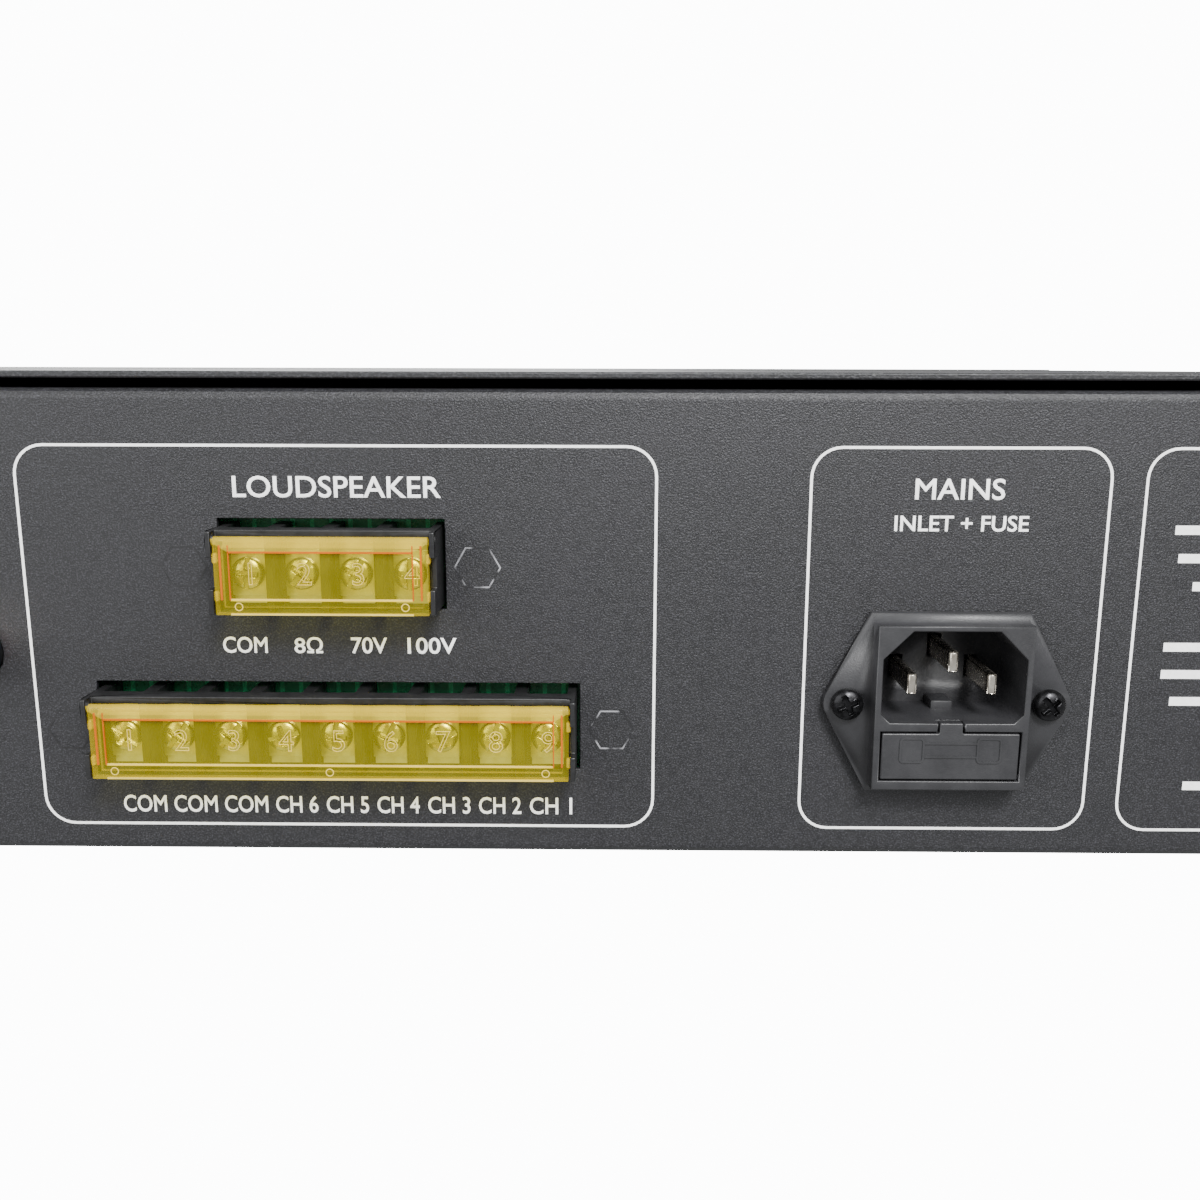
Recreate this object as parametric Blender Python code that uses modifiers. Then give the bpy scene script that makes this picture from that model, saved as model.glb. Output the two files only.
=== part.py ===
"""Two-unit rack power amplifier for public address, built as separate pieces.

World frame: metres, +Z up, the front panel faces -Y and the rear panel faces +Y.
The origin is at the middle of the base, on the surface that the feet stand on.
Places on the rear panel are given as x, height above the pan and distance out of the panel.
"""

import math

import bmesh
import bpy
from mathutils import Matrix, Vector

MM = 0.001
GAP = 0.3 * MM                      # air left between two pieces that touch

# Chassis: one folded pan (front lip, base, rear panel, top lip) under a folded cover
CHASSIS_WIDTH = 430 * MM
CHASSIS_DEPTH = 330 * MM            # back of the front panel to the rear face
PAN_HEIGHT = 84.9 * MM
SHEET = 1.2 * MM
FOLD_RADIUS = 2.0 * MM
LIP = 14 * MM
COVER_SHEET = 1.2 * MM
COVER_LIFT = 1.7 * MM               # dark slit between the rear panel's top fold and the cover
FOOT_HEIGHT = 9 * MM
FOOT_RADIUS = 10 * MM
FOOT_INSET = 42 * MM

# Vent slots in the cover
VENT_COUNT = 13
VENT_PITCH = 9 * MM
VENT_WIDTH = 3.6 * MM
VENT_LENGTH = 62 * MM
VENT_ROWS = (-108 * MM, 96 * MM)    # x of each group of slots in the top
SIDE_VENT_COUNT = 9
SIDE_VENT_HEIGHT = 34 * MM

# Front panel and rack ears (IEC 60297: 482.6 across, 465.1 between slots, 76.2 for two units)
FRONT_THICKNESS = 4 * MM
FRONT_HEIGHT = PAN_HEIGHT + 3.1 * MM
FRONT_EDGE = 0.8 * MM
RACK_WIDTH = CHASSIS_WIDTH + 52.6 * MM
SLOT_SPACING = CHASSIS_WIDTH + 35.1 * MM
SLOT_RISE = FRONT_HEIGHT - 11.8 * MM
SLOT_WIDTH = 10.3 * MM
SLOT_HEIGHT = 6.8 * MM
EAR_SHEET = 2 * MM
EAR_DEPTH = 38 * MM

# Output terminals: barrier blocks at 9.5 mm pitch, with hinged lids
OUTPUT_X = 5.6 * MM
TERMINAL_PITCH = 9.5 * MM
LINE_WAYS = 4
ZONE_WAYS = 9
LINE_HEIGHT = 54.0 * MM             # row of each block above the pan's underside
ZONE_HEIGHT = 24.3 * MM
BLOCK_HEIGHT = 14.4 * MM
BLOCK_FRONT = 8.4 * MM              # how far the end walls stand out of the panel
BAR_BACK = 2.3 * MM                 # back of the bar above the pockets
CELL_WIDTH = TERMINAL_PITCH - 2.3 * MM
CELL_DROP = 2.6 * MM                # open cells behind the bar, through which the board shows
BARRIER_FRONT = 5.9 * MM
POCKET_FLOOR = 1.0 * MM
ENTRY_DROP = 0.4 * MM               # step in the pocket's floor where a wire comes in
BARRIER = 1.4 * MM
END_WALL = 0.9 * MM
TOP_WALL = 1.3 * MM
LID_CLEARANCE = GAP
LID_SHEET = 1.1 * MM
LID_MARGIN = 1.5 * MM               # what the lid lacks of the ways' full width
ROLL_RADIUS = 1.0 * MM
PIVOT_RADIUS = 0.6 * MM
SKIRT = 2.0 * MM
NOTCH_HEIGHT = 5.6 * MM
CUTOUT_MARGIN = 0.6 * MM            # gap between a block and its panel cutout, each side
CUTOUT_ABOVE = 1.2 * MM
SCREW_DROP = 0.9 * MM               # terminal screws sit below the middle of the block
SCREW_HEAD_RADIUS = 2.9 * MM
SCREW_HEAD_HEIGHT = 1.9 * MM
SCREW_SHANK_RADIUS = 1.5 * MM
SCREW_RECESS = 0.9 * MM
SCREW_SLOT = 0.9 * MM
SCREW_LENGTH = 5.0 * MM
CLAMP_PLATE = 0.9 * MM              # space under the head for the clamp plate
BOARD_DROP = 6.0 * MM               # rear face to the face of the output board
BOARD_SHEET = 1.6 * MM
BOARD_MARGIN = 5 * MM               # board beyond its standoffs
STANDOFF_FLATS = 5.5 * MM
STANDOFF_MARGIN = 6.4 * MM          # from the end of a block to the middle of a standoff
ZONE_STANDOFF_DROP = 0.6 * MM

# Mains inlet with its fuse drawer
INLET_X = -103.7 * MM
INLET_HEIGHT = 30.0 * MM
FLANGE_SHEET = 2.2 * MM
FLANGE_HALF_HEIGHT = 16.4 * MM
INLET_SCREW_SPACING = 35.8 * MM
EAR_RADIUS = 4.05 * MM
INLET_FRONT = 6.0 * MM
INLET_BODY_WIDTH = 27.2 * MM
FLANGE_HALF_WIDTH = INLET_BODY_WIDTH / 2 + 0.3 * MM
INLET_BODY_HEIGHT = 29.8 * MM
INLET_DEPTH = 24 * MM
CAVITY_WIDTH = INLET_BODY_WIDTH - 2.2 * MM
CAVITY_HEIGHT = 16.5 * MM
CAVITY_RISE = 5.7 * MM              # middle of the socket above the middle of the inlet
CAVITY_FLOOR = -8.0 * MM
CAVITY_CHAMFER = 5.0 * MM
CAVITY_LOW_CHAMFER = 1.6 * MM
PIN_SPACING = 14 * MM
PIN_RISE = 4.2 * MM                 # live and neutral pins above the middle of the inlet
EARTH_RISE = 4 * MM
PIN_WIDTH = 2 * MM
PIN_HEIGHT = 4 * MM
PIN_TIP = 4.6 * MM
PIN_EDGE = 0.4 * MM
TAB_LENGTH = 8 * MM
DRAWER_WIDTH = INLET_BODY_WIDTH - 3 * MM
DRAWER_HEIGHT = 8.5 * MM
DRAWER_RISE = -8.7 * MM
DRAWER_FACE = 2.0 * MM
DRAWER_DEPTH = 12.5 * MM
DRAWER_FLOOR = 0.9 * MM
FINGER_TAB = 4.1 * MM
FUSE_RADIUS = 2.6 * MM
FUSE_LENGTH = DRAWER_WIDTH - 4.2 * MM
FUSE_CAP = 5 * MM
INLET_SCREW_HEAD = 2.85 * MM
INLET_SCREW_SHANK = 1.5 * MM
INLET_SCREW_RISE = 2.1 * MM
INLET_SCREW_LENGTH = 7 * MM
INLET_SCREW_SLOT = 0.8 * MM
INLET_SCREW_RECESS = 1 * MM
HOLE_CLEARANCE = 0.4 * MM

# Input sockets
PHONO_MARGIN = 23.15 * MM           # from the end of the nine-way block's terminals
PHONO_X = OUTPUT_X + ZONE_WAYS * TERMINAL_PITCH / 2 + PHONO_MARGIN
PHONO_SPACING = 14 * MM
PHONO_HEIGHT = 38 * MM
PHONO_BARREL = 4.2 * MM
PHONO_BORE = 1.7 * MM
PHONO_LENGTH = 9.5 * MM
PHONO_SHOULDER = 5.4 * MM
PHONO_BODY_DEPTH = 12 * MM
PHONO_STEP = 1 * MM
PHONO_BORE_DEPTH = 6 * MM
JACK_X = 118 * MM
JACK_HEIGHT = 38 * MM
JACK_NUT = 6.6 * MM
JACK_THREAD = 4.7 * MM
JACK_BORE = 3.3 * MM
JACK_BODY = 15 * MM
JACK_DEPTH = 26 * MM
JACK_REACH = 4 * MM
JACK_NUT_SHEET = 2.7 * MM
JACK_END = 3 * MM

# Controls on the front panel
KNOB_XS = (18 * MM, 66 * MM, 114 * MM, 168 * MM)
KNOB_NAMES = ("input_knob", "bass_knob", "treble_knob", "master_knob")
CONTROL_HEIGHT = 42 * MM
KNOB_RADIUS = 9.5 * MM
KNOB_LENGTH = 15 * MM
KNOB_LIFT = 1.2 * MM
KNOB_EDGE = 0.8 * MM
KNOB_TOP = 0.8                      # radius of a knob's flat top as a share of its skirt
POINTER_WIDTH = 1 * MM
POINTER_DEPTH = 0.6 * MM
SHAFT_RADIUS = 3 * MM
SHAFT_END_GAP = 3 * MM
BUTTON_COUNT = 6
BUTTON_PITCH = 20 * MM
BUTTON_FIRST_X = -142 * MM
BUTTON_WIDTH = 10 * MM
BUTTON_HEIGHT = 6.5 * MM
BUTTON_PROUD = 4.5 * MM
BUTTON_TRAVEL = 2.5 * MM
BUTTON_EDGE = 0.5 * MM
BUTTON_BACK = 2 * MM                # cap behind the front panel
STEM = 4 * MM
STEM_END_GAP = 2 * MM
ROCKER_X = -188 * MM
ROCKER_WIDTH = 10 * MM
ROCKER_HEIGHT = 17 * MM
ROCKER_DEPTH = 6 * MM
ROCKER_TILT = math.radians(9)
ROCKER_PROUD = 0.6 * MM             # rocker beyond its frame
ROCKER_AXIS = 1 * MM                # axis behind the front panel's face
ROCKER_EDGE = 0.6 * MM
SWITCH_WALL = 1.5 * MM
SWITCH_FLANGE = 2.4 * MM
SWITCH_BORDER = 2.4 * MM
SWITCH_DEPTH = 16 * MM
FRONT_BOARD_DROP = 14 * MM          # back of the front panel to the face of its board
POT_BODY = 16 * MM
SWITCH_BODY = 10 * MM
BODY_FRONT_GAP = 4 * MM             # back of the front panel to the potentiometers
FRONT_BOARD_HEIGHT = 60 * MM

# Inside
TRANSFORMER_CORE = (86 * MM, 40 * MM, PAN_HEIGHT - 13 * MM)
OUTPUT_CORE = (76 * MM, 34 * MM, PAN_HEIGHT - 23 * MM)
TRANSFORMER_PLACE = (-140 * MM, -30 * MM)
OUTPUT_X_PLACE = 110 * MM
OUTPUT_INSET = 78 * MM              # middle of the output transformer in front of the rear face
COIL_SHARE = 0.62                   # winding's width and height as shares of its core
COIL_OVERHANG = 13 * MM
BRACKET_SHEET = 1.5 * MM
BRACKET_OVERHANG = 9 * MM
MAIN_BOARD = (190 * MM, CHASSIS_DEPTH - 180 * MM)
MAIN_BOARD_X = 62 * MM
MAIN_BOARD_SETBACK = 45 * MM        # its front edge behind the front panel
MAIN_BOARD_LIFT = 8 * MM
POST_RADIUS = 3 * MM
POST_INSET = 8 * MM
CAN_RADIUS = 15 * MM
CAN_HEIGHT = 46 * MM
CAN_EDGE = 1 * MM
CAN_XS = (-8 * MM, 28 * MM)
FIN_COUNT = 11
FIN = 2 * MM
FIN_PITCH = 14 * MM
SINK_BASE = 7 * MM
SINK_DEPTH = 34 * MM
SINK_HEIGHT = PAN_HEIGHT - 23 * MM
SINK_INSET = 2 * MM

# Worked out from the sizes above
FRONT_REACH = KNOB_LENGTH
DEPTH = FRONT_REACH + FRONT_THICKNESS + CHASSIS_DEPTH + PHONO_LENGTH
REAR_Y = DEPTH / 2 - PHONO_LENGTH
FRONT_FACE_Y = -DEPTH / 2 + FRONT_REACH
FRONT_BACK_Y = FRONT_FACE_Y + FRONT_THICKNESS
PAN_Z = FOOT_HEIGHT
PAN_WIDTH = CHASSIS_WIDTH - 2 * (COVER_SHEET + GAP)
PAN_FRONT_Y = FRONT_BACK_Y + GAP
CASE_HEIGHT = PAN_HEIGHT + COVER_LIFT + COVER_SHEET
FRONT_LOW = (CASE_HEIGHT - FRONT_HEIGHT) / 2
HINGE_OUT = BLOCK_FRONT - ROLL_RADIUS
HINGE_RISE = BLOCK_HEIGHT / 2 - ROLL_RADIUS
BOARD_Y = REAR_Y - BOARD_DROP - GAP
MAIN_BOARD_Y = FRONT_BACK_Y + MAIN_BOARD_SETBACK + MAIN_BOARD[1] / 2
ROUND = 16                          # sides of a small round piece
UPRIGHT = Matrix.Rotation(math.pi / 2, 4, "X")     # stands a flat outline up, its y along Z


def material(name, colour, roughness, metallic=0.0):
    """A plain surface: linear colour, roughness and metallic value."""
    made = bpy.data.materials.new(name)
    made.use_nodes = True
    shader = made.node_tree.nodes["Principled BSDF"]
    shader.inputs["Base Color"].default_value = (*colour, 1.0)
    shader.inputs["Roughness"].default_value = roughness
    shader.inputs["Metallic"].default_value = metallic
    return made


def rear(x, height, out):
    """A point by the rear panel: x, height above the pan, distance out of the panel."""
    return Vector((x, REAR_Y + out, PAN_Z + height))


def front(x, height, out):
    """A point by the front panel: x, height above the pan, distance out of the panel."""
    return Vector((x, FRONT_FACE_Y - out, PAN_Z + height))


def add_box(shape, low, high):
    """Add a box between two opposite corners to a mesh under construction."""
    low = Vector(low)
    high = Vector(high)
    corner = Vector(map(min, low, high))
    size = Vector(map(max, low, high)) - corner
    place = Matrix.Translation(corner + size / 2) @ Matrix.Diagonal((*size, 1.0))
    bmesh.ops.create_cube(shape, size=1.0, matrix=place)
    return shape


def add_rod(shape, start, end, radius, sides=ROUND):
    """Add a straight round bar between two points to a mesh under construction."""
    start = Vector(start)
    run = Vector(end) - start
    turn = run.to_track_quat("Z", "Y").to_matrix().to_4x4()
    place = Matrix.Translation(start + run / 2) @ turn
    bmesh.ops.create_cone(shape, cap_ends=True, segments=sides, radius1=radius,
                          radius2=radius, depth=run.length, matrix=place)
    return shape


def boxes(*corners):
    """A mesh under construction that holds one box for each pair of corners."""
    shape = bmesh.new()
    for low, high in corners:
        add_box(shape, low, high)
    return shape


def rods(*ends, radius, sides=ROUND):
    """A mesh under construction that holds one round bar for each pair of end points."""
    shape = bmesh.new()
    for start, end in ends:
        add_rod(shape, start, end, radius, sides)
    return shape


def add_object(name, shape, origin, group):
    """Make an object of a mesh given in world coordinates, with its origin where asked."""
    origin = Vector(origin)
    bmesh.ops.translate(shape, verts=shape.verts, vec=-origin)
    mesh = bpy.data.meshes.new(name)
    shape.to_mesh(mesh)
    shape.free()
    made = bpy.data.objects.new(name, mesh)
    made.location = origin
    group.objects.link(made)
    return made


def part(name, shape, surface, origin=(0, 0, 0)):
    """A sub-part of the amplifier."""
    made = add_object(name, shape, origin, PARTS)
    made.data.materials.append(surface)
    made.data.shade_smooth()
    made.data.set_sharp_from_angle(angle=math.radians(30))
    return made


def combine(piece, shape, operation):
    """Cut a shape from a piece, or join it to the piece."""
    tool = add_object(f"{piece.name}_tool", shape, (0, 0, 0), TOOLS)
    tool.hide_render = True
    tool.display_type = "WIRE"
    step = piece.modifiers.new(operation.title(), "BOOLEAN")
    step.operation = operation
    step.solver = "EXACT"
    step.object = tool


def cut(piece, shape):
    """Cut a shape out of a piece."""
    combine(piece, shape, "DIFFERENCE")


def join(piece, shape):
    """Join a shape to a piece, as one solid."""
    combine(piece, shape, "UNION")


def round_edges(piece, width, segments=2):
    """Round every edge of a piece."""
    edges = piece.modifiers.new("Edges", "BEVEL")
    edges.width = width
    edges.segments = segments


def evaluated_mesh(source):
    """The mesh of an object as its modifiers or its curve leave it."""
    bpy.context.view_layer.update()
    seen = source.evaluated_get(bpy.context.evaluated_depsgraph_get())
    return bpy.data.meshes.new_from_object(seen)


def plate(points, thickness, place):
    """A flat outline, given as x and y pairs, with thickness centred on its own plane."""
    curve = bpy.data.curves.new("outline", "CURVE")
    curve.dimensions = "2D"
    curve.fill_mode = "BOTH"
    curve.extrude = thickness / 2
    line = curve.splines.new("POLY")
    line.points.add(len(points) - 1)
    for point, (x, y) in zip(line.points, points):
        point.co = (x, y, 0, 1)
    line.use_cyclic_u = True
    holder = bpy.data.objects.new("outline", curve)
    PARTS.objects.link(holder)
    shape = bmesh.new()
    shape.from_mesh(evaluated_mesh(holder))
    bpy.data.objects.remove(holder)
    bmesh.ops.remove_doubles(shape, verts=shape.verts, dist=0.001 * MM)
    bmesh.ops.recalc_face_normals(shape, faces=shape.faces)
    bmesh.ops.transform(shape, matrix=place, verts=shape.verts)
    return shape


def turned(name, profile, surface, origin, direction, sides=ROUND):
    """A turned piece: radius and height pairs, top to bottom, about an axis along direction."""
    shape = bmesh.new()
    rim = [shape.verts.new((radius, 0, height)) for radius, height in profile]
    for upper, lower in zip(rim, rim[1:]):
        shape.edges.new((upper, lower))
    made = part(name, shape, surface)
    made.location = origin
    made.rotation_mode = "QUATERNION"
    made.rotation_quaternion = Vector(direction).to_track_quat("Z", "Y")
    spin = made.modifiers.new("Turn", "SCREW")
    spin.steps = sides
    spin.render_steps = sides
    spin.use_merge_vertices = True
    spin.merge_threshold = 0.01 * MM
    return made


def facing_rear(x, height, out):
    """Place a flat outline on the rear panel: its x runs along X and its y runs up."""
    return Matrix.Translation(rear(x, height, out)) @ UPRIGHT


def folded_sheet(name, path, along, length, thickness, surface):
    """A folded sheet: an outer line of corners swept along an axis, folds rounded."""
    shape = bmesh.new()
    corners = [shape.verts.new(corner) for corner in path]
    edges = [shape.edges.new(pair) for pair in zip(corners, corners[1:])]
    swept = bmesh.ops.extrude_edge_only(shape, edges=edges)["geom"]
    moved = [item for item in swept if isinstance(item, bmesh.types.BMVert)]
    bmesh.ops.translate(shape, verts=moved, vec=Vector(along) * length)
    folds = [edge for edge in shape.edges if len(edge.link_faces) == 2]
    bmesh.ops.bevel(shape, geom=folds, offset=FOLD_RADIUS, offset_type="OFFSET", segments=4,
                    profile=0.5, affect="EDGES")
    bmesh.ops.recalc_face_normals(shape, faces=shape.faces)
    made = part(name, shape, surface)
    wall = made.modifiers.new("Sheet", "SOLIDIFY")
    wall.thickness = thickness
    wall.offset = -1.0
    wall.use_even_offset = True
    return made


def block_half_width(ways):
    """Half the width of a terminal block."""
    return lid_half_width(ways) + LID_CLEARANCE + END_WALL


def lid_half_width(ways):
    """Half the width of a terminal block's lid."""
    return (ways * TERMINAL_PITCH - LID_MARGIN) / 2


def terminal_xs(ways):
    """Where the terminals of a block lie along x, first terminal first."""
    middle = (ways - 1) / 2
    return [OUTPUT_X + (middle - number) * TERMINAL_PITCH for number in range(ways)]


def inlet_outline():
    """The inlet's flange: a rectangle with a rounded ear at each side."""
    reach = INLET_SCREW_SPACING / 2
    away = Vector((FLANGE_HALF_WIDTH - reach, FLANGE_HALF_HEIGHT))
    touch = math.atan2(away.y, away.x) - math.acos(EAR_RADIUS / away.length)
    steps = 6
    arc = [touch - 2 * touch * step / steps for step in range(steps + 1)]
    right = [(reach + EAR_RADIUS * math.cos(a), EAR_RADIUS * math.sin(a)) for a in arc]
    half = [(FLANGE_HALF_WIDTH, FLANGE_HALF_HEIGHT), *right,
            (FLANGE_HALF_WIDTH, -FLANGE_HALF_HEIGHT)]
    return half + [(-x, -y) for x, y in half]


def chamfered(width, height, upper, lower):
    """A rectangle about the origin with its corners cut at 45 degrees."""
    half = [(width / 2 - upper, height / 2), (width / 2, height / 2 - upper),
            (width / 2, -height / 2 + lower), (width / 2 - lower, -height / 2)]
    return half + [(-x, y) for x, y in reversed(half)]


def slot_outline(width, height):
    """A slot with round ends, about the origin."""
    steps = 6
    reach = (width - height) / 2
    arc = [math.pi / 2 - math.pi * step / steps for step in range(steps + 1)]
    right = [(reach + height / 2 * math.cos(a), height / 2 * math.sin(a)) for a in arc]
    return right + [(-x, -y) for x, y in right]


def make_pan(surface):
    """The pan: front lip, base, rear panel and top lip, with the rear panel's cutouts."""
    x = -PAN_WIDTH / 2
    top = PAN_Z + PAN_HEIGHT
    path = [(x, PAN_FRONT_Y, PAN_Z + LIP), (x, PAN_FRONT_Y, PAN_Z), (x, REAR_Y, PAN_Z),
            (x, REAR_Y, top), (x, REAR_Y - LIP, top)]
    pan = folded_sheet("chassis_pan", path, (1, 0, 0), PAN_WIDTH, SHEET, surface)
    through = 2 * SHEET
    holes = bmesh.new()
    for ways, height in ((LINE_WAYS, LINE_HEIGHT), (ZONE_WAYS, ZONE_HEIGHT)):
        half = block_half_width(ways) + CUTOUT_MARGIN
        low = height - BLOCK_HEIGHT / 2 - CUTOUT_MARGIN
        high = height + BLOCK_HEIGHT / 2 + CUTOUT_ABOVE
        add_box(holes, rear(OUTPUT_X - half, low, -through), rear(OUTPUT_X + half, high, through))
    half = INLET_BODY_WIDTH / 2 + GAP
    rise = INLET_BODY_HEIGHT / 2 + GAP
    add_box(holes, rear(INLET_X - half, INLET_HEIGHT - rise, -through),
            rear(INLET_X + half, INLET_HEIGHT + rise, through))
    for side in (-1, 1):
        x = INLET_X + side * INLET_SCREW_SPACING / 2
        add_rod(holes, rear(x, INLET_HEIGHT, -through), rear(x, INLET_HEIGHT, through),
                INLET_SCREW_SHANK + HOLE_CLEARANCE)
    for x in phono_xs():
        add_rod(holes, rear(x, PHONO_HEIGHT, -through), rear(x, PHONO_HEIGHT, through),
                PHONO_SHOULDER + HOLE_CLEARANCE)
    add_rod(holes, rear(JACK_X, JACK_HEIGHT, -through), rear(JACK_X, JACK_HEIGHT, through),
            JACK_THREAD + HOLE_CLEARANCE)
    cut(pan, holes)


def make_cover(surface):
    """The cover: a top and two sides, with groups of vent slots."""
    half = CHASSIS_WIDTH / 2
    start = FRONT_BACK_Y + GAP
    low = PAN_Z + GAP
    high = PAN_Z + CASE_HEIGHT
    path = [(-half, start, low), (-half, start, high), (half, start, high), (half, start, low)]
    length = CHASSIS_DEPTH - 2 * GAP
    cover = folded_sheet("top_cover", path, (0, 1, 0), length, COVER_SHEET, surface)
    slots = bmesh.new()
    through = 2 * COVER_SHEET
    for row in VENT_ROWS:
        for number in range(VENT_COUNT):
            y = (number - (VENT_COUNT - 1) / 2) * VENT_PITCH
            add_box(slots, (row - VENT_LENGTH / 2, y - VENT_WIDTH / 2, high - through),
                    (row + VENT_LENGTH / 2, y + VENT_WIDTH / 2, high + through))
    middle = PAN_Z + PAN_HEIGHT / 2
    for number in range(SIDE_VENT_COUNT):
        y = (number - (SIDE_VENT_COUNT - 1) / 2) * VENT_PITCH
        for side in (-half, half):
            add_box(slots, (side - through, y - VENT_WIDTH / 2, middle - SIDE_VENT_HEIGHT / 2),
                    (side + through, y + VENT_WIDTH / 2, middle + SIDE_VENT_HEIGHT / 2))
    cut(cover, slots)


def make_feet(surface):
    """Four round feet under the pan."""
    top = FOOT_HEIGHT - GAP
    profile = [(0, top), (FOOT_RADIUS, top), (FOOT_RADIUS, top * 0.75),
               (FOOT_RADIUS * 0.82, 0), (0, 0)]
    xs = {"left": -PAN_WIDTH / 2 + FOOT_INSET, "right": PAN_WIDTH / 2 - FOOT_INSET}
    ys = {"front": PAN_FRONT_Y + FOOT_INSET, "rear": REAR_Y - FOOT_INSET}
    for end, y in ys.items():
        for side, x in xs.items():
            turned(f"foot_{end}_{side}", profile, surface, (x, y, 0), (0, 0, 1), 20)


def make_front_panel(surface):
    """The front panel, with holes for the shafts, the buttons and the power switch."""
    half = CHASSIS_WIDTH / 2 - GAP
    panel = part("front_panel", boxes((front(-half, FRONT_LOW, 0),
                 front(half, FRONT_LOW + FRONT_HEIGHT, -FRONT_THICKNESS))), surface)
    round_edges(panel, FRONT_EDGE)
    through = 2 * FRONT_THICKNESS
    holes = bmesh.new()
    for x in KNOB_XS:
        add_rod(holes, front(x, CONTROL_HEIGHT, through), front(x, CONTROL_HEIGHT, -through),
                SHAFT_RADIUS + HOLE_CLEARANCE)
    for x in button_xs():
        wide = BUTTON_WIDTH / 2 + GAP
        tall = BUTTON_HEIGHT / 2 + GAP
        add_box(holes, front(x - wide, CONTROL_HEIGHT - tall, through),
                front(x + wide, CONTROL_HEIGHT + tall, -through))
    wide = switch_body_half()[0] + GAP
    tall = switch_body_half()[1] + GAP
    add_box(holes, front(ROCKER_X - wide, CONTROL_HEIGHT - tall, through),
            front(ROCKER_X + wide, CONTROL_HEIGHT + tall, -through))
    cut(panel, holes)


def make_rack_ears(surface):
    """Two angle brackets beside the front panel, each with two rack slots."""
    inner = CHASSIS_WIDTH / 2 + GAP
    low = FRONT_LOW
    high = low + FRONT_HEIGHT
    for name, side in (("rack_ear_left", -1), ("rack_ear_right", 1)):
        ear = part(name, boxes((front(side * inner, low, 0),
                   front(side * RACK_WIDTH / 2, high, -EAR_SHEET))), surface)
        join(ear, boxes((front(side * inner, low, -EAR_SHEET / 2),
                         front(side * (inner + EAR_SHEET), high, -EAR_DEPTH))))
        slots = bmesh.new()
        for step in (-1, 1):
            centre = front(side * SLOT_SPACING / 2, CASE_HEIGHT / 2 + step * SLOT_RISE / 2,
                           -EAR_SHEET / 2)
            hole = plate(slot_outline(SLOT_WIDTH, SLOT_HEIGHT), 3 * EAR_SHEET,
                         Matrix.Translation(centre) @ UPRIGHT)
            mesh = bpy.data.meshes.new("slot")
            hole.to_mesh(mesh)
            hole.free()
            slots.from_mesh(mesh)
        cut(ear, slots)


def make_terminal_block(name, ways, height, surface):
    """A barrier block: pockets open at the front and below, a hinge wall above."""
    half = block_half_width(ways)
    low = height - BLOCK_HEIGHT / 2
    high = height + BLOCK_HEIGHT / 2
    block = part(name, boxes((rear(OUTPUT_X - half, low, -BOARD_DROP),
                 rear(OUTPUT_X + half, high, BLOCK_FRONT))), surface)
    beyond = 1 * MM
    cells = bmesh.new()
    for x in terminal_xs(ways):
        add_box(cells, rear(x - CELL_WIDTH / 2, high - CELL_DROP, -BOARD_DROP - beyond),
                rear(x + CELL_WIDTH / 2, high + beyond, BAR_BACK))
    cut(block, cells)
    pocket = (TERMINAL_PITCH - BARRIER) / 2
    pockets = bmesh.new()
    for x in terminal_xs(ways):
        add_box(pockets, rear(x - pocket, low - beyond, POCKET_FLOOR),
                rear(x + pocket, high - TOP_WALL, BLOCK_FRONT + beyond))
    cut(block, pockets)
    entries = bmesh.new()
    for x in terminal_xs(ways):
        add_box(entries, rear(x - pocket, low - beyond, POCKET_FLOOR - ENTRY_DROP),
                rear(x + pocket, height - SCREW_DROP - SCREW_HEAD_RADIUS - GAP,
                     POCKET_FLOOR + beyond))
    cut(block, entries)
    inner = half - END_WALL
    cut(block, boxes((rear(OUTPUT_X - inner, low - beyond, BARRIER_FRONT),
                      rear(OUTPUT_X + inner, high + beyond, BLOCK_FRONT + beyond))))
    notch = NOTCH_HEIGHT / 2
    cut(block, boxes((rear(OUTPUT_X - half - beyond, height - notch, BARRIER_FRONT),
                      rear(OUTPUT_X + half + beyond, height + notch, BLOCK_FRONT + beyond))))
    hinge = height + HINGE_RISE
    reach = half + beyond
    cut(block, rods((rear(OUTPUT_X - reach, hinge, HINGE_OUT), rear(OUTPUT_X + reach, hinge,
                    HINGE_OUT)), radius=PIVOT_RADIUS + GAP, sides=12))
    drop = height - SCREW_DROP
    bores = bmesh.new()
    for x in terminal_xs(ways):
        bottom = POCKET_FLOOR - SCREW_LENGTH + CLAMP_PLATE - GAP
        add_rod(bores, rear(x, drop, bottom), rear(x, drop, POCKET_FLOOR + beyond),
                SCREW_SHANK_RADIUS + GAP, 12)
    cut(block, bores)


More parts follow.
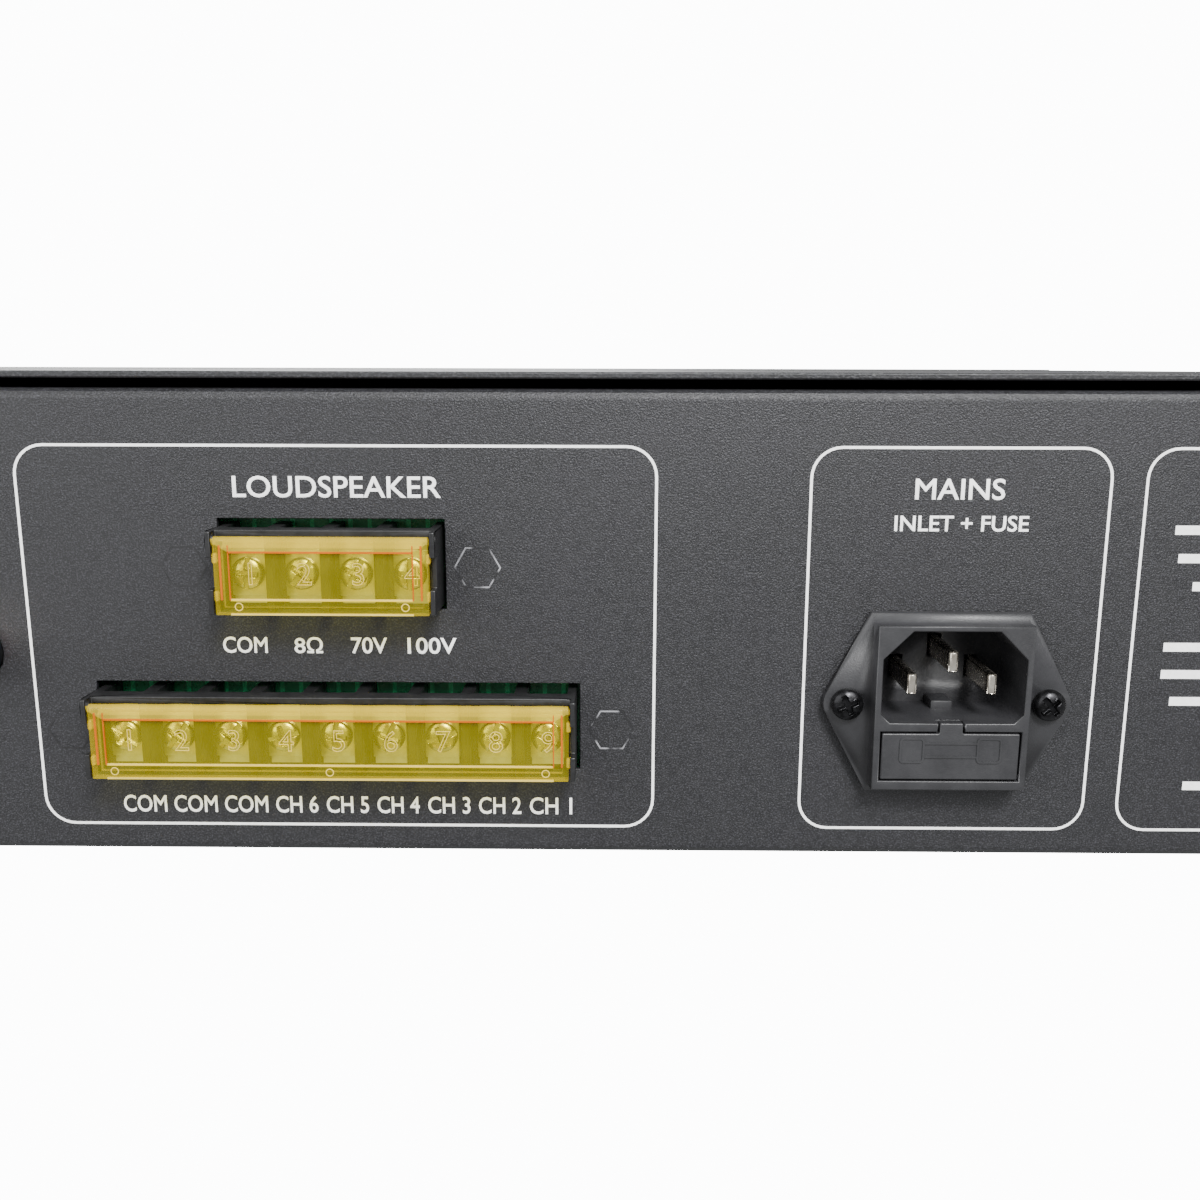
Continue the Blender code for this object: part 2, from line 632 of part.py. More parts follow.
def make_terminal_lid(name, ways, height, surface):
    """A lid that hangs from a round edge, with end pivots, snap tabs and a lower skirt."""
    half = lid_half_width(ways)
    hinge = height + HINGE_RISE
    low = height - BLOCK_HEIGHT / 2
    axis = rear(OUTPUT_X, hinge, HINGE_OUT)
    back = BLOCK_FRONT - LID_SHEET
    lid = part(name, boxes((rear(OUTPUT_X - half, low, back),
               rear(OUTPUT_X + half, hinge, BLOCK_FRONT - 0.02 * MM))), surface, axis)
    join(lid, rods((rear(OUTPUT_X - half, hinge, HINGE_OUT), rear(OUTPUT_X + half, hinge,
                   HINGE_OUT)), radius=ROLL_RADIUS, sides=20))
    reach = half + LID_CLEARANCE + END_WALL * 0.75
    join(lid, rods((rear(OUTPUT_X - reach, hinge, HINGE_OUT), rear(OUTPUT_X + reach, hinge,
                   HINGE_OUT)), radius=PIVOT_RADIUS, sides=12))
    join(lid, boxes((rear(OUTPUT_X - half, low, BARRIER_FRONT + GAP),
                     rear(OUTPUT_X + half, low + LID_SHEET, back + LID_SHEET / 2))))
    tab = NOTCH_HEIGHT / 2 - 2 * GAP
    wide = half + LID_CLEARANCE
    join(lid, boxes((rear(OUTPUT_X - wide, height - tab, back + 0.1 * MM),
                     rear(OUTPUT_X + wide, height + tab, BLOCK_FRONT - 0.2 * MM))))


def make_terminal_screws(prefix, ways, height, surface):
    """Pan-head terminal screws with a cross recess, one in each pocket."""
    seat = POCKET_FLOOR + CLAMP_PLATE
    top = SCREW_HEAD_HEIGHT
    radius = SCREW_HEAD_RADIUS
    profile = [(0, top), (radius * 0.72, top), (radius, top * 0.45), (radius, 0),
               (SCREW_SHANK_RADIUS, 0), (SCREW_SHANK_RADIUS, -SCREW_LENGTH + 0.4 * MM),
               (SCREW_SHANK_RADIUS * 0.7, -SCREW_LENGTH), (0, -SCREW_LENGTH)]
    drop = height - SCREW_DROP
    shared = None
    for number, x in enumerate(terminal_xs(ways), 1):
        name = f"{prefix}_screw_{number}"
        seated = rear(x, drop, seat)
        if shared:
            screw = bpy.data.objects.new(name, shared)
            screw.location = seated
            screw.rotation_mode = "QUATERNION"
            screw.rotation_quaternion = Vector((0, 1, 0)).to_track_quat("Z", "Y")
            PARTS.objects.link(screw)
            continue
        first = turned(name, profile, surface, seated, (0, 1, 0))
        slot = SCREW_SLOT / 2
        long = radius * 2 / 3
        deep = seat + top - SCREW_RECESS
        proud = seat + 2 * top
        cut(first, boxes((rear(x - slot, drop - long, deep), rear(x + slot, drop + long, proud))))
        cut(first, boxes((rear(x - 2 * radius, drop - slot, deep),
                          rear(x + 2 * radius, drop + slot, proud))))
        shared = evaluated_mesh(first)
        first.modifiers.clear()
        first.data = shared


def make_output_board(surface, metal):
    """The board that carries both terminal blocks, and its four clinched standoffs."""
    line = block_half_width(LINE_WAYS) + STANDOFF_MARGIN
    zone = block_half_width(ZONE_WAYS) + STANDOFF_MARGIN
    places = []
    for side in (-1, 1):
        places.append((OUTPUT_X + side * line, LINE_HEIGHT))
        places.append((OUTPUT_X + side * zone, ZONE_HEIGHT - ZONE_STANDOFF_DROP))
    half = zone + BOARD_MARGIN
    low = ZONE_HEIGHT - BLOCK_HEIGHT
    high = LINE_HEIGHT + BLOCK_HEIGHT
    face = -BOARD_DROP - GAP
    part("output_board", boxes((rear(OUTPUT_X - half, low, face),
         rear(OUTPUT_X + half, high, face - BOARD_SHEET))), surface)
    for number, (x, height) in enumerate(places, 1):
        nut = rods((rear(x, height, -SHEET - GAP), rear(x, height, -BOARD_DROP)),
                   radius=STANDOFF_FLATS / math.sqrt(3), sides=6)
        part(f"board_standoff_{number}", nut, metal)


def make_inlet(surface):
    """The mains inlet: eared flange, raised body, socket and the fuse drawer's bay."""
    flange = plate(inlet_outline(), FLANGE_SHEET - GAP,
                   facing_rear(INLET_X, INLET_HEIGHT, (FLANGE_SHEET + GAP) / 2))
    housing = part("inlet_housing", flange, surface)
    wide = INLET_BODY_WIDTH / 2
    tall = INLET_BODY_HEIGHT / 2
    join(housing, boxes((rear(INLET_X - wide, INLET_HEIGHT - tall, -INLET_DEPTH),
                         rear(INLET_X + wide, INLET_HEIGHT + tall, INLET_FRONT))))
    beyond = 2 * MM
    depth = INLET_FRONT + beyond - CAVITY_FLOOR
    outline = chamfered(CAVITY_WIDTH, CAVITY_HEIGHT, CAVITY_CHAMFER, CAVITY_LOW_CHAMFER)
    middle = INLET_HEIGHT + CAVITY_RISE
    cut(housing, plate(outline, depth, facing_rear(INLET_X, middle, CAVITY_FLOOR + depth / 2)))
    bay_wide = DRAWER_WIDTH / 2 + GAP
    bay_tall = DRAWER_HEIGHT / 2 + GAP
    bay = INLET_HEIGHT + DRAWER_RISE
    back = INLET_FRONT - DRAWER_DEPTH - GAP
    cut(housing, boxes((rear(INLET_X - bay_wide, bay - bay_tall, back),
                        rear(INLET_X + bay_wide, bay + bay_tall, INLET_FRONT + beyond))))
    cut(housing, boxes((rear(INLET_X - FINGER_TAB / 2 - GAP, bay, INLET_FRONT - DRAWER_FACE - GAP),
                        rear(INLET_X + FINGER_TAB / 2 + GAP, middle, INLET_FRONT + beyond))))
    holes = bmesh.new()
    for side in (-1, 1):
        x = INLET_X + side * INLET_SCREW_SPACING / 2
        add_rod(holes, rear(x, INLET_HEIGHT, -beyond), rear(x, INLET_HEIGHT, INLET_FRONT),
                INLET_SCREW_SHANK + HOLE_CLEARANCE)
    for x, height in pin_places().values():
        wide = PIN_WIDTH / 2 + GAP
        tall = PIN_HEIGHT / 2 + GAP
        add_box(holes, rear(x - wide, height - tall, -INLET_DEPTH - beyond),
                rear(x + wide, height + tall, CAVITY_FLOOR + beyond))
    cut(housing, holes)


def pin_places():
    """Where the three pins of the inlet stand."""
    row = INLET_HEIGHT + PIN_RISE
    return {"inlet_pin_live": (INLET_X - PIN_SPACING / 2, row),
            "inlet_pin_neutral": (INLET_X + PIN_SPACING / 2, row),
            "inlet_pin_earth": (INLET_X, row + EARTH_RISE)}


def make_pins(surface):
    """Three flat pins that run through the housing to solder tabs behind it."""
    for name, (x, height) in pin_places().items():
        pin = part(name, boxes((rear(x - PIN_WIDTH / 2, height - PIN_HEIGHT / 2,
                   -INLET_DEPTH - TAB_LENGTH), rear(x + PIN_WIDTH / 2,
                   height + PIN_HEIGHT / 2, PIN_TIP))), surface)
        round_edges(pin, PIN_EDGE, 1)


def make_fuse_drawer(surface, metal):
    """The drawer in the inlet, with a finger tab, and the fuse that lies across it."""
    wide = DRAWER_WIDTH / 2
    tall = DRAWER_HEIGHT / 2
    bay = INLET_HEIGHT + DRAWER_RISE
    back = INLET_FRONT - DRAWER_DEPTH
    origin = rear(INLET_X, bay, INLET_FRONT)
    drawer = part("fuse_drawer", boxes((rear(INLET_X - wide, bay - tall, back),
                  rear(INLET_X + wide, bay + tall, INLET_FRONT))), surface, origin)
    tab_top = INLET_HEIGHT + CAVITY_RISE - CAVITY_HEIGHT / 2
    join(drawer, boxes((rear(INLET_X - FINGER_TAB / 2, bay, INLET_FRONT - DRAWER_FACE),
                        rear(INLET_X + FINGER_TAB / 2, tab_top, INLET_FRONT))))
    reach = FUSE_LENGTH / 2 + GAP
    middle = INLET_FRONT - DRAWER_FACE - GAP - FUSE_RADIUS - 2 * GAP
    trough = FUSE_RADIUS + 2 * GAP
    seat = bay - tall + DRAWER_FLOOR + GAP + FUSE_RADIUS
    cut(drawer, boxes((rear(INLET_X - reach, bay - tall + DRAWER_FLOOR, middle - trough),
                       rear(INLET_X + reach, bay + tall + 1 * MM, middle + trough))))
    fuse = part("fuse", rods((rear(INLET_X - FUSE_LENGTH / 2, seat, middle),
                rear(INLET_X + FUSE_LENGTH / 2, seat, middle)), radius=FUSE_RADIUS), metal,
                rear(INLET_X, seat, middle))
    waist = FUSE_LENGTH / 2 - FUSE_CAP
    ring = rods((rear(INLET_X - waist, seat, middle), rear(INLET_X + waist, seat, middle)),
                radius=FUSE_RADIUS * 1.3)
    core = rods((rear(INLET_X - FUSE_LENGTH, seat, middle), rear(INLET_X + FUSE_LENGTH, seat,
                middle)), radius=FUSE_RADIUS * 0.93)
    sleeve = add_object("fuse_sleeve", ring, (0, 0, 0), TOOLS)
    cut(sleeve, core)
    waisted = bmesh.new()
    waisted.from_mesh(evaluated_mesh(sleeve))
    bpy.data.objects.remove(sleeve)
    cut(fuse, waisted)


def make_inlet_screws(surface):
    """Two pan-head screws through the ears of the inlet."""
    head = INLET_SCREW_RISE
    radius = INLET_SCREW_HEAD
    profile = [(0, head), (radius * 0.6, head), (radius, head * 0.45), (radius, 0),
               (INLET_SCREW_SHANK, 0), (INLET_SCREW_SHANK, -INLET_SCREW_LENGTH),
               (0, -INLET_SCREW_LENGTH)]
    seat = FLANGE_SHEET + GAP
    for name, side in (("inlet_screw_left", 1), ("inlet_screw_right", -1)):
        x = INLET_X + side * INLET_SCREW_SPACING / 2
        screw = turned(name, profile, surface, rear(x, INLET_HEIGHT, seat), (0, 1, 0), 20)
        slot = INLET_SCREW_SLOT / 2
        long = radius * 0.6
        deep = seat + head - INLET_SCREW_RECESS
        for wide, tall in ((slot, long), (long, slot)):
            cut(screw, boxes((rear(x - wide, INLET_HEIGHT - tall, deep),
                              rear(x + wide, INLET_HEIGHT + tall, seat + 2 * head))))


def phono_xs():
    """Where the two phono sockets lie along x."""
    return (PHONO_X, PHONO_X + PHONO_SPACING)


def make_input_sockets(surface):
    """A pair of phono sockets in one moulding, and a 6.35 mm microphone jack."""
    wide = PHONO_SPACING
    middle = PHONO_X + PHONO_SPACING / 2
    inner = -SHEET - GAP
    block = part("line_input_sockets", boxes((rear(middle - wide, PHONO_HEIGHT - wide / 2,
                 inner - PHONO_BODY_DEPTH), rear(middle + wide, PHONO_HEIGHT + wide / 2,
                 inner))), surface)
    barrels = bmesh.new()
    shoulders = bmesh.new()
    bores = bmesh.new()
    for x in phono_xs():
        add_rod(shoulders, rear(x, PHONO_HEIGHT, inner - SHEET),
                rear(x, PHONO_HEIGHT, PHONO_STEP), PHONO_SHOULDER)
        add_rod(barrels, rear(x, PHONO_HEIGHT, 0), rear(x, PHONO_HEIGHT, PHONO_LENGTH),
                PHONO_BARREL)
        add_rod(bores, rear(x, PHONO_HEIGHT, -PHONO_BORE_DEPTH),
                rear(x, PHONO_HEIGHT, 2 * PHONO_LENGTH), PHONO_BORE, 12)
    join(block, shoulders)
    join(block, barrels)
    cut(block, bores)
    half = JACK_BODY / 2
    jack = part("microphone_jack", boxes((rear(JACK_X - half, JACK_HEIGHT - half,
                inner - JACK_DEPTH), rear(JACK_X + half, JACK_HEIGHT + half, inner))), surface)
    join(jack, rods((rear(JACK_X, JACK_HEIGHT, inner - SHEET), rear(JACK_X, JACK_HEIGHT,
                    JACK_REACH)), radius=JACK_THREAD))
    join(jack, rods((rear(JACK_X, JACK_HEIGHT, GAP), rear(JACK_X, JACK_HEIGHT,
                    GAP + JACK_NUT_SHEET)), radius=JACK_NUT, sides=6))
    cut(jack, rods((rear(JACK_X, JACK_HEIGHT, inner - JACK_DEPTH + JACK_END),
                    rear(JACK_X, JACK_HEIGHT, 2 * JACK_REACH)), radius=JACK_BORE))


def button_xs():
    """Where the zone buttons lie along x."""
    return [BUTTON_FIRST_X + number * BUTTON_PITCH for number in range(BUTTON_COUNT)]


def make_knobs(surface):
    """Four fluted knobs on round shafts, each with a pointer groove."""
    sides = 24
    radius = KNOB_RADIUS
    inward = FRONT_THICKNESS + FRONT_BOARD_DROP - SHAFT_END_GAP
    top = radius * KNOB_TOP
    profile = [(0, KNOB_LENGTH), (top, KNOB_LENGTH), (top + KNOB_EDGE, KNOB_LENGTH - KNOB_EDGE),
               (radius, KNOB_LIFT), (SHAFT_RADIUS, KNOB_LIFT), (SHAFT_RADIUS, -inward),
               (0, -inward)]
    for name, x in zip(KNOB_NAMES, KNOB_XS):
        knob = turned(name, profile, surface, front(x, CONTROL_HEIGHT, 0), (0, -1, 0), sides)
        groove = POINTER_WIDTH / 2
        cut(knob, boxes((front(x - groove, CONTROL_HEIGHT + top / 3, KNOB_LENGTH - POINTER_DEPTH),
                         front(x + groove, CONTROL_HEIGHT + 2 * radius, 2 * KNOB_LENGTH))))


def make_buttons(surface):
    """Six push buttons that choose the zones: a cap and a square stem."""
    seated = FRONT_THICKNESS + BUTTON_BACK
    end = FRONT_THICKNESS + FRONT_BOARD_DROP - STEM_END_GAP - BUTTON_TRAVEL
    wide = BUTTON_WIDTH / 2
    tall = BUTTON_HEIGHT / 2
    for number, x in enumerate(button_xs(), 1):
        cap = part(f"zone_button_{number}", boxes((front(x - wide, CONTROL_HEIGHT - tall, -seated),
                   front(x + wide, CONTROL_HEIGHT + tall, BUTTON_PROUD))), surface,
                   front(x, CONTROL_HEIGHT, 0))
        round_edges(cap, BUTTON_EDGE)
        join(cap, boxes((front(x - STEM / 2, CONTROL_HEIGHT - STEM / 2, -FRONT_THICKNESS),
                         front(x + STEM / 2, CONTROL_HEIGHT + STEM / 2, -end))))


def switch_body_half():
    """Half the width and height of the power switch's body behind the panel."""
    swing = ROCKER_DEPTH * math.sin(ROCKER_TILT)
    return (ROCKER_WIDTH / 2 + SWITCH_WALL, ROCKER_HEIGHT / 2 + swing + SWITCH_WALL)


def make_power_switch(surface, paddle):
    """The power switch: a flanged frame and a rocker that tips about a level axis."""
    wide, tall = switch_body_half()
    border = SWITCH_BORDER
    frame = part("power_switch_frame", boxes((front(ROCKER_X - wide - border,
                 CONTROL_HEIGHT - tall - border, GAP), front(ROCKER_X + wide + border,
                 CONTROL_HEIGHT + tall + border, SWITCH_FLANGE))), surface)
    join(frame, boxes((front(ROCKER_X - wide, CONTROL_HEIGHT - tall, SWITCH_FLANGE / 2),
                       front(ROCKER_X + wide, CONTROL_HEIGHT + tall, -SWITCH_DEPTH))))
    inner = ROCKER_WIDTH / 2 + GAP
    rise = tall - SWITCH_WALL * 2 / 3
    cut(frame, boxes((front(ROCKER_X - inner, CONTROL_HEIGHT - rise, 2 * SWITCH_FLANGE),
                      front(ROCKER_X + inner, CONTROL_HEIGHT + rise, SWITCH_WALL - SWITCH_DEPTH))))
    axis = front(ROCKER_X, CONTROL_HEIGHT, -ROCKER_AXIS)
    half = ROCKER_WIDTH / 2
    rise = ROCKER_HEIGHT / 2
    face = SWITCH_FLANGE + ROCKER_PROUD
    rocker = part("power_rocker", boxes((front(ROCKER_X - half, CONTROL_HEIGHT - rise, face),
                  front(ROCKER_X + half, CONTROL_HEIGHT + rise, face - ROCKER_DEPTH))),
                  paddle, axis)
    round_edges(rocker, ROCKER_EDGE)
    rocker.rotation_euler.x = ROCKER_TILT


def make_front_board(surface):
    """The board behind the front panel, with its potentiometers and switch bodies."""
    first = min(button_xs()) - SWITCH_BODY
    last = max(KNOB_XS) + POT_BODY
    back = FRONT_THICKNESS + FRONT_BOARD_DROP
    rise = FRONT_BOARD_HEIGHT / 2
    board = part("front_board", boxes((front(first, CONTROL_HEIGHT - rise, -back),
                 front(last, CONTROL_HEIGHT + rise, -back - BOARD_SHEET))), surface)
    bodies = bmesh.new()
    bores = bmesh.new()
    near = FRONT_THICKNESS + BODY_FRONT_GAP
    for x in KNOB_XS:
        half = POT_BODY / 2
        add_box(bodies, front(x - half, CONTROL_HEIGHT - half, -near),
                front(x + half, CONTROL_HEIGHT + half, -back - BOARD_SHEET / 2))
        add_rod(bores, front(x, CONTROL_HEIGHT, 0), front(x, CONTROL_HEIGHT, -back + 2 * MM),
                SHAFT_RADIUS + HOLE_CLEARANCE)
    for x in button_xs():
        half = SWITCH_BODY / 2
        add_box(bodies, front(x - half, CONTROL_HEIGHT - half, -near - BUTTON_TRAVEL),
                front(x + half, CONTROL_HEIGHT + half, -back - BOARD_SHEET / 2))
        half = STEM / 2 + GAP
        add_box(bores, front(x - half, CONTROL_HEIGHT - half, 0),
                front(x + half, CONTROL_HEIGHT + half, -back + 1 * MM))
    join(board, bodies)
    cut(board, bores)


def make_transformer(name, core, x, y, surface):
    """A transformer: laminated core, winding and a mounting strap, standing on the pan."""
    wide, deep, tall = core
    floor = PAN_Z + SHEET + GAP
    iron = part(name, boxes(((x - wide / 2, y - deep / 2, floor),
                (x + wide / 2, y + deep / 2, floor + tall))), surface)
    half = wide * COIL_SHARE / 2
    reach = deep / 2 + COIL_OVERHANG
    rise = tall * COIL_SHARE / 2
    middle = floor + tall / 2
    join(iron, boxes(((x - half, y - reach, middle - rise), (x + half, y + reach, middle + rise))))
    strap = wide / 2 + BRACKET_OVERHANG
    join(iron, boxes(((x - strap, y - deep / 3, floor),
                      (x + strap, y + deep / 3, floor + BRACKET_SHEET))))


def make_main_board(surface, can, metal):
    """The amplifier board on four posts, its two storage capacitors and its heatsink."""
    wide, deep = MAIN_BOARD
    floor = PAN_Z + SHEET + GAP
    top = floor + MAIN_BOARD_LIFT + BOARD_SHEET
    board = part("amplifier_board", boxes(((MAIN_BOARD_X - wide / 2, MAIN_BOARD_Y - deep / 2,
                 floor + MAIN_BOARD_LIFT), (MAIN_BOARD_X + wide / 2, MAIN_BOARD_Y + deep / 2,
                 top))), surface)
    posts = bmesh.new()
    for side in (-1, 1):
        for end in (-1, 1):
            x = MAIN_BOARD_X + side * (wide / 2 - POST_INSET)
            y = MAIN_BOARD_Y + end * (deep / 2 - POST_INSET)
            add_rod(posts, (x, y, floor), (x, y, top - BOARD_SHEET / 2), POST_RADIUS, 8)
    join(board, posts)
    profile = [(0, CAN_HEIGHT), (CAN_RADIUS - CAN_EDGE, CAN_HEIGHT),
               (CAN_RADIUS, CAN_HEIGHT - CAN_EDGE), (CAN_RADIUS, 0), (0, 0)]
    for number, x in enumerate(CAN_XS, 1):
        turned(f"capacitor_{number}", profile, can, (x, MAIN_BOARD_Y, top + GAP), (0, 0, 1), 24)
    length = (FIN_COUNT - 1) * FIN_PITCH + FIN
    start = -length / 2
    comb = [(start, 0), (start + length, 0)]
    for number in reversed(range(FIN_COUNT)):
        left = start + number * FIN_PITCH
        comb += [(left + FIN, SINK_DEPTH), (left, SINK_DEPTH)]
        if number:
            comb += [(left, SINK_BASE), (left - FIN_PITCH + FIN, SINK_BASE)]
    side = MAIN_BOARD_X + wide / 2 - SINK_DEPTH - SINK_INSET
    place = (Matrix.Translation((side, MAIN_BOARD_Y, top + GAP + SINK_HEIGHT / 2))
             @ Matrix.Rotation(-math.pi / 2, 4, "Z"))
    part("heatsink", plate(comb, SINK_HEIGHT, place), metal)


def make_amplifier():
    """Every piece of the amplifier, in its own material."""
    coat = material("black powder coat", (0.035, 0.035, 0.038), 0.62)
    cover_coat = material("cover powder coat", (0.04, 0.04, 0.043), 0.6)
    panel = material("black anodised panel", (0.03, 0.03, 0.032), 0.45, 0.6)
    ear = material("black steel bracket", (0.03, 0.03, 0.032), 0.5)
    rubber = material("foot rubber", (0.02, 0.02, 0.02), 0.85)
    nylon = material("block nylon", (0.018, 0.018, 0.018), 0.5)
    amber = material("amber lid", (0.75, 0.36, 0.08), 0.15)
    nickel = material("nickel plate", (0.62, 0.6, 0.56), 0.3, 1.0)
    resin = material("green board", (0.02, 0.16, 0.06), 0.45)
    plastic = material("black inlet plastic", (0.02, 0.02, 0.02), 0.4)
    blacked = material("blackened steel", (0.03, 0.03, 0.03), 0.35, 0.9)
    glass = material("fuse glass and caps", (0.6, 0.6, 0.58), 0.2, 0.5)
    knob = material("knob plastic", (0.03, 0.03, 0.03), 0.45)
    key = material("button plastic", (0.35, 0.35, 0.36), 0.45)
    iron = material("transformer iron", (0.12, 0.11, 0.1), 0.55, 0.5)
    can = material("capacitor sleeve", (0.03, 0.04, 0.08), 0.35)
    aluminium = material("heatsink aluminium", (0.5, 0.5, 0.52), 0.4, 1.0)

    make_pan(coat)
    make_cover(cover_coat)
    make_feet(rubber)
    make_front_panel(panel)
    make_rack_ears(ear)
    for prefix, ways, height in (("line", LINE_WAYS, LINE_HEIGHT), ("zone", ZONE_WAYS, ZONE_HEIGHT)):
        make_terminal_block(f"{prefix}_block", ways, height, nylon)
        make_terminal_lid(f"{prefix}_lid", ways, height, amber)
        make_terminal_screws(prefix, ways, height, nickel)
    make_output_board(resin, nickel)
    make_inlet(plastic)
    make_pins(nickel)
    make_fuse_drawer(plastic, glass)
    make_inlet_screws(blacked)
    make_input_sockets(plastic)
    make_knobs(knob)
    make_buttons(key)
    make_power_switch(plastic, knob)
    make_front_board(resin)
    make_transformer("power_transformer", TRANSFORMER_CORE, *TRANSFORMER_PLACE, iron)
    make_transformer("output_transformer", OUTPUT_CORE, OUTPUT_X_PLACE, REAR_Y - OUTPUT_INSET, iron)
    make_main_board(resin, can, aluminium)


for old in list(bpy.data.objects):
    bpy.data.objects.remove(old)
PARTS = bpy.data.collections.new("power_amplifier")
TOOLS = bpy.data.collections.new("cutting_shapes")
bpy.context.scene.collection.children.link(PARTS)
bpy.context.scene.collection.children.link(TOOLS)
make_amplifier()
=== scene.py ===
"""Looks of a rack-width power amplifier: finishes, print, clear lids and fine hardware."""

import math
from functools import cache

import bmesh
import bpy
from bpy.props import FloatProperty, FloatVectorProperty, PointerProperty
from bpy.types import Operator, Panel, PropertyGroup
from mathutils import Matrix, Vector


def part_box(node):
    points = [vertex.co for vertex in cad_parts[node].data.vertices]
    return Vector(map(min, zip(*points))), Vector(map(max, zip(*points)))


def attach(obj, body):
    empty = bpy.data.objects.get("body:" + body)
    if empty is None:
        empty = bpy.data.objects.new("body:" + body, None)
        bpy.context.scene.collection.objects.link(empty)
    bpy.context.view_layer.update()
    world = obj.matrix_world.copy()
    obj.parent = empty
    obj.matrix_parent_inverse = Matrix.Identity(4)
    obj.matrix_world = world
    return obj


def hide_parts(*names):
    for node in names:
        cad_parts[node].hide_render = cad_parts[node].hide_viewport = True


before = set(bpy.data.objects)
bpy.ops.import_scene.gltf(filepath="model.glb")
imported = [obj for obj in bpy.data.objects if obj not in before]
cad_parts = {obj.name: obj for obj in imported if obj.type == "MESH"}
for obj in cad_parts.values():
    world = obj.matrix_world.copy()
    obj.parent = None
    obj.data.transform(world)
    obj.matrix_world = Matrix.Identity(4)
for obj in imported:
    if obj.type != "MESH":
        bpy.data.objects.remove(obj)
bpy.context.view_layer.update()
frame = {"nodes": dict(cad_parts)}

bl_info = {
    "name": "Power Amplifier Looks",
    "version": (1, 0, 0),
    "blender": (4, 5, 0),
    "location": "View3D > Sidebar > Amplifier",
    "description": "Finishes, printed legends and fine pieces for a rack power amplifier",
    "category": "Object",
}

MM = 0.001
CHASSIS = "chassis"
FLAT = math.radians(0.05)           # faces that meet at less than this lie in one plane
PAST = 1 * MM                       # how far a cutter runs past what it cuts

# Places on the case, from the frame
PAN_LOW, PAN_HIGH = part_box("chassis_pan")
REAR_Y = PAN_HIGH.y
PAN_Z = PAN_LOW.z
FRONT_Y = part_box("front_panel")[0].y
LINE_WAYS = 4
ZONE_WAYS = 9
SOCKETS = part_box("line_input_sockets")
JACK_X = sum(corner.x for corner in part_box("microphone_jack")) / 2
SOCKET_HEIGHT = 38 * MM
PHONO_SPACING = 14 * MM
PHONO_X = (SOCKETS[0].x + SOCKETS[1].x - PHONO_SPACING) / 2

# Printed boxes on the rear panel: x of both sides, heights above the pan, and the bars in the
# third box as (height, width) in millimetres
OUTPUT_FRAME = (60.8 * MM, -51.8 * MM)
INLET_FRAME = (-78.2 * MM, -130.6 * MM)
NOTE_FRAME = (-136.3 * MM, -204 * MM)
NOTE_BARS = ((68, 30), (61, 56), (56, 54), (51, 48), (40, 56), (35, 56), (30, 52), (25, 38), (14, 44))
FRAME_HEIGHTS = (5.2 * MM, 75.4 * MM)
FRAME_CORNER = 5.5 * MM
INK = 0.05 * MM                     # how far ink stands on the coat
INK_SUNK = 0.02 * MM                # its underside, inside the coat so that no gap shows
BAR_HALF = 0.8 * MM
# Words as (text, x, height, width, letter height), and terminal names as (text, x, width), in
# millimetres
HEADERS = (("LOUDSPEAKER", 4.3, 68.0, 36.5, 3.8), ("MAINS", -104.3, 68.0, 15.6, 3.7),
           ("INLET + FUSE", -104.9, 62.0, 23.4, 2.8))
LINE_LEGENDS = (("COM", 21.9, 8.0), ("8Ω", 10.5, 5.1), ("70V", -0.4, 6.5), ("100V", -11.7, 8.8))
LINE_LEGEND_HEIGHT = 39.55
ZONE_LEGENDS = ("COM", "COM", "COM", "CH 6", "CH 5", "CH 4", "CH 3", "CH 2", "CH 1")
ZONE_LEGEND_HEIGHT = 9.3
ZONE_LEGEND_X = 42.2
ZONE_LEGEND_STEP = 9.38
COMMON_WIDTH = 8.0
CHANNEL_WIDTH = 7.8
# Studs as (x, height, rubbed), in millimetres
STUDS = ((31.97, 53.8, False), (-20.1, 53.8, True), (54.8, 23.5, False), (-43.95, 24.0, True))
STUD_ACROSS = 7.3 * MM
STUD_LINE = 0.28 * MM

NUMERAL_PITCH = 9.2 * MM            # a little under the terminals' pitch
NUMERAL_ASIDE = 1.7 * MM            # of the row of numerals from the lid's middle
NUMERAL_RISE = 0.4 * MM

# Turns of the terminal screws' slots, in degrees
LINE_TURNS = (85, 50, 62, 88)
ZONE_TURNS = (-38, 52, 48, 14, 84, 66, 20, 75, 58)

# How shapes drawn flat, x right, y up and z out, stand on the rear and the front
ON_REAR = Matrix(((-1, 0, 0, 0), (0, 0, 1, 0), (0, 1, 0, 0), (0, 0, 0, 1)))
ON_FRONT = Matrix(((1, 0, 0, 0), (0, 0, -1, 0), (0, 1, 0, 0), (0, 0, 0, 1)))


def rear(x, height, out=0.0):
    """Where a shape stands on the rear panel: x, height above the pan, distance out."""
    return Matrix.Translation((x, REAR_Y + out, PAN_Z + height)) @ ON_REAR


def facing(node, matrix=ON_REAR, out=0.0):
    """The place of a node's middle, on its outer face when out is 0."""
    low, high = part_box(node)
    middle = (low + high) / 2
    middle.y = high.y + out if matrix is ON_REAR else low.y - out
    return Matrix.Translation(middle) @ matrix


# ---------------------------------------------------------------------------
# Colours and nodes
# ---------------------------------------------------------------------------

def srgb(code):
    """The linear colour of an sRGB hex value."""
    shares = [int(code[i:i + 2], 16) / 255 for i in (1, 3, 5)]
    return tuple(s / 12.92 if s <= 0.04045 else ((s + 0.055) / 1.055) ** 2.4 for s in shares)


def rgba(colour):
    """A colour with full opacity, from a hex value or three linear shares."""
    return (*(srgb(colour) if isinstance(colour, str) else colour), 1.0)


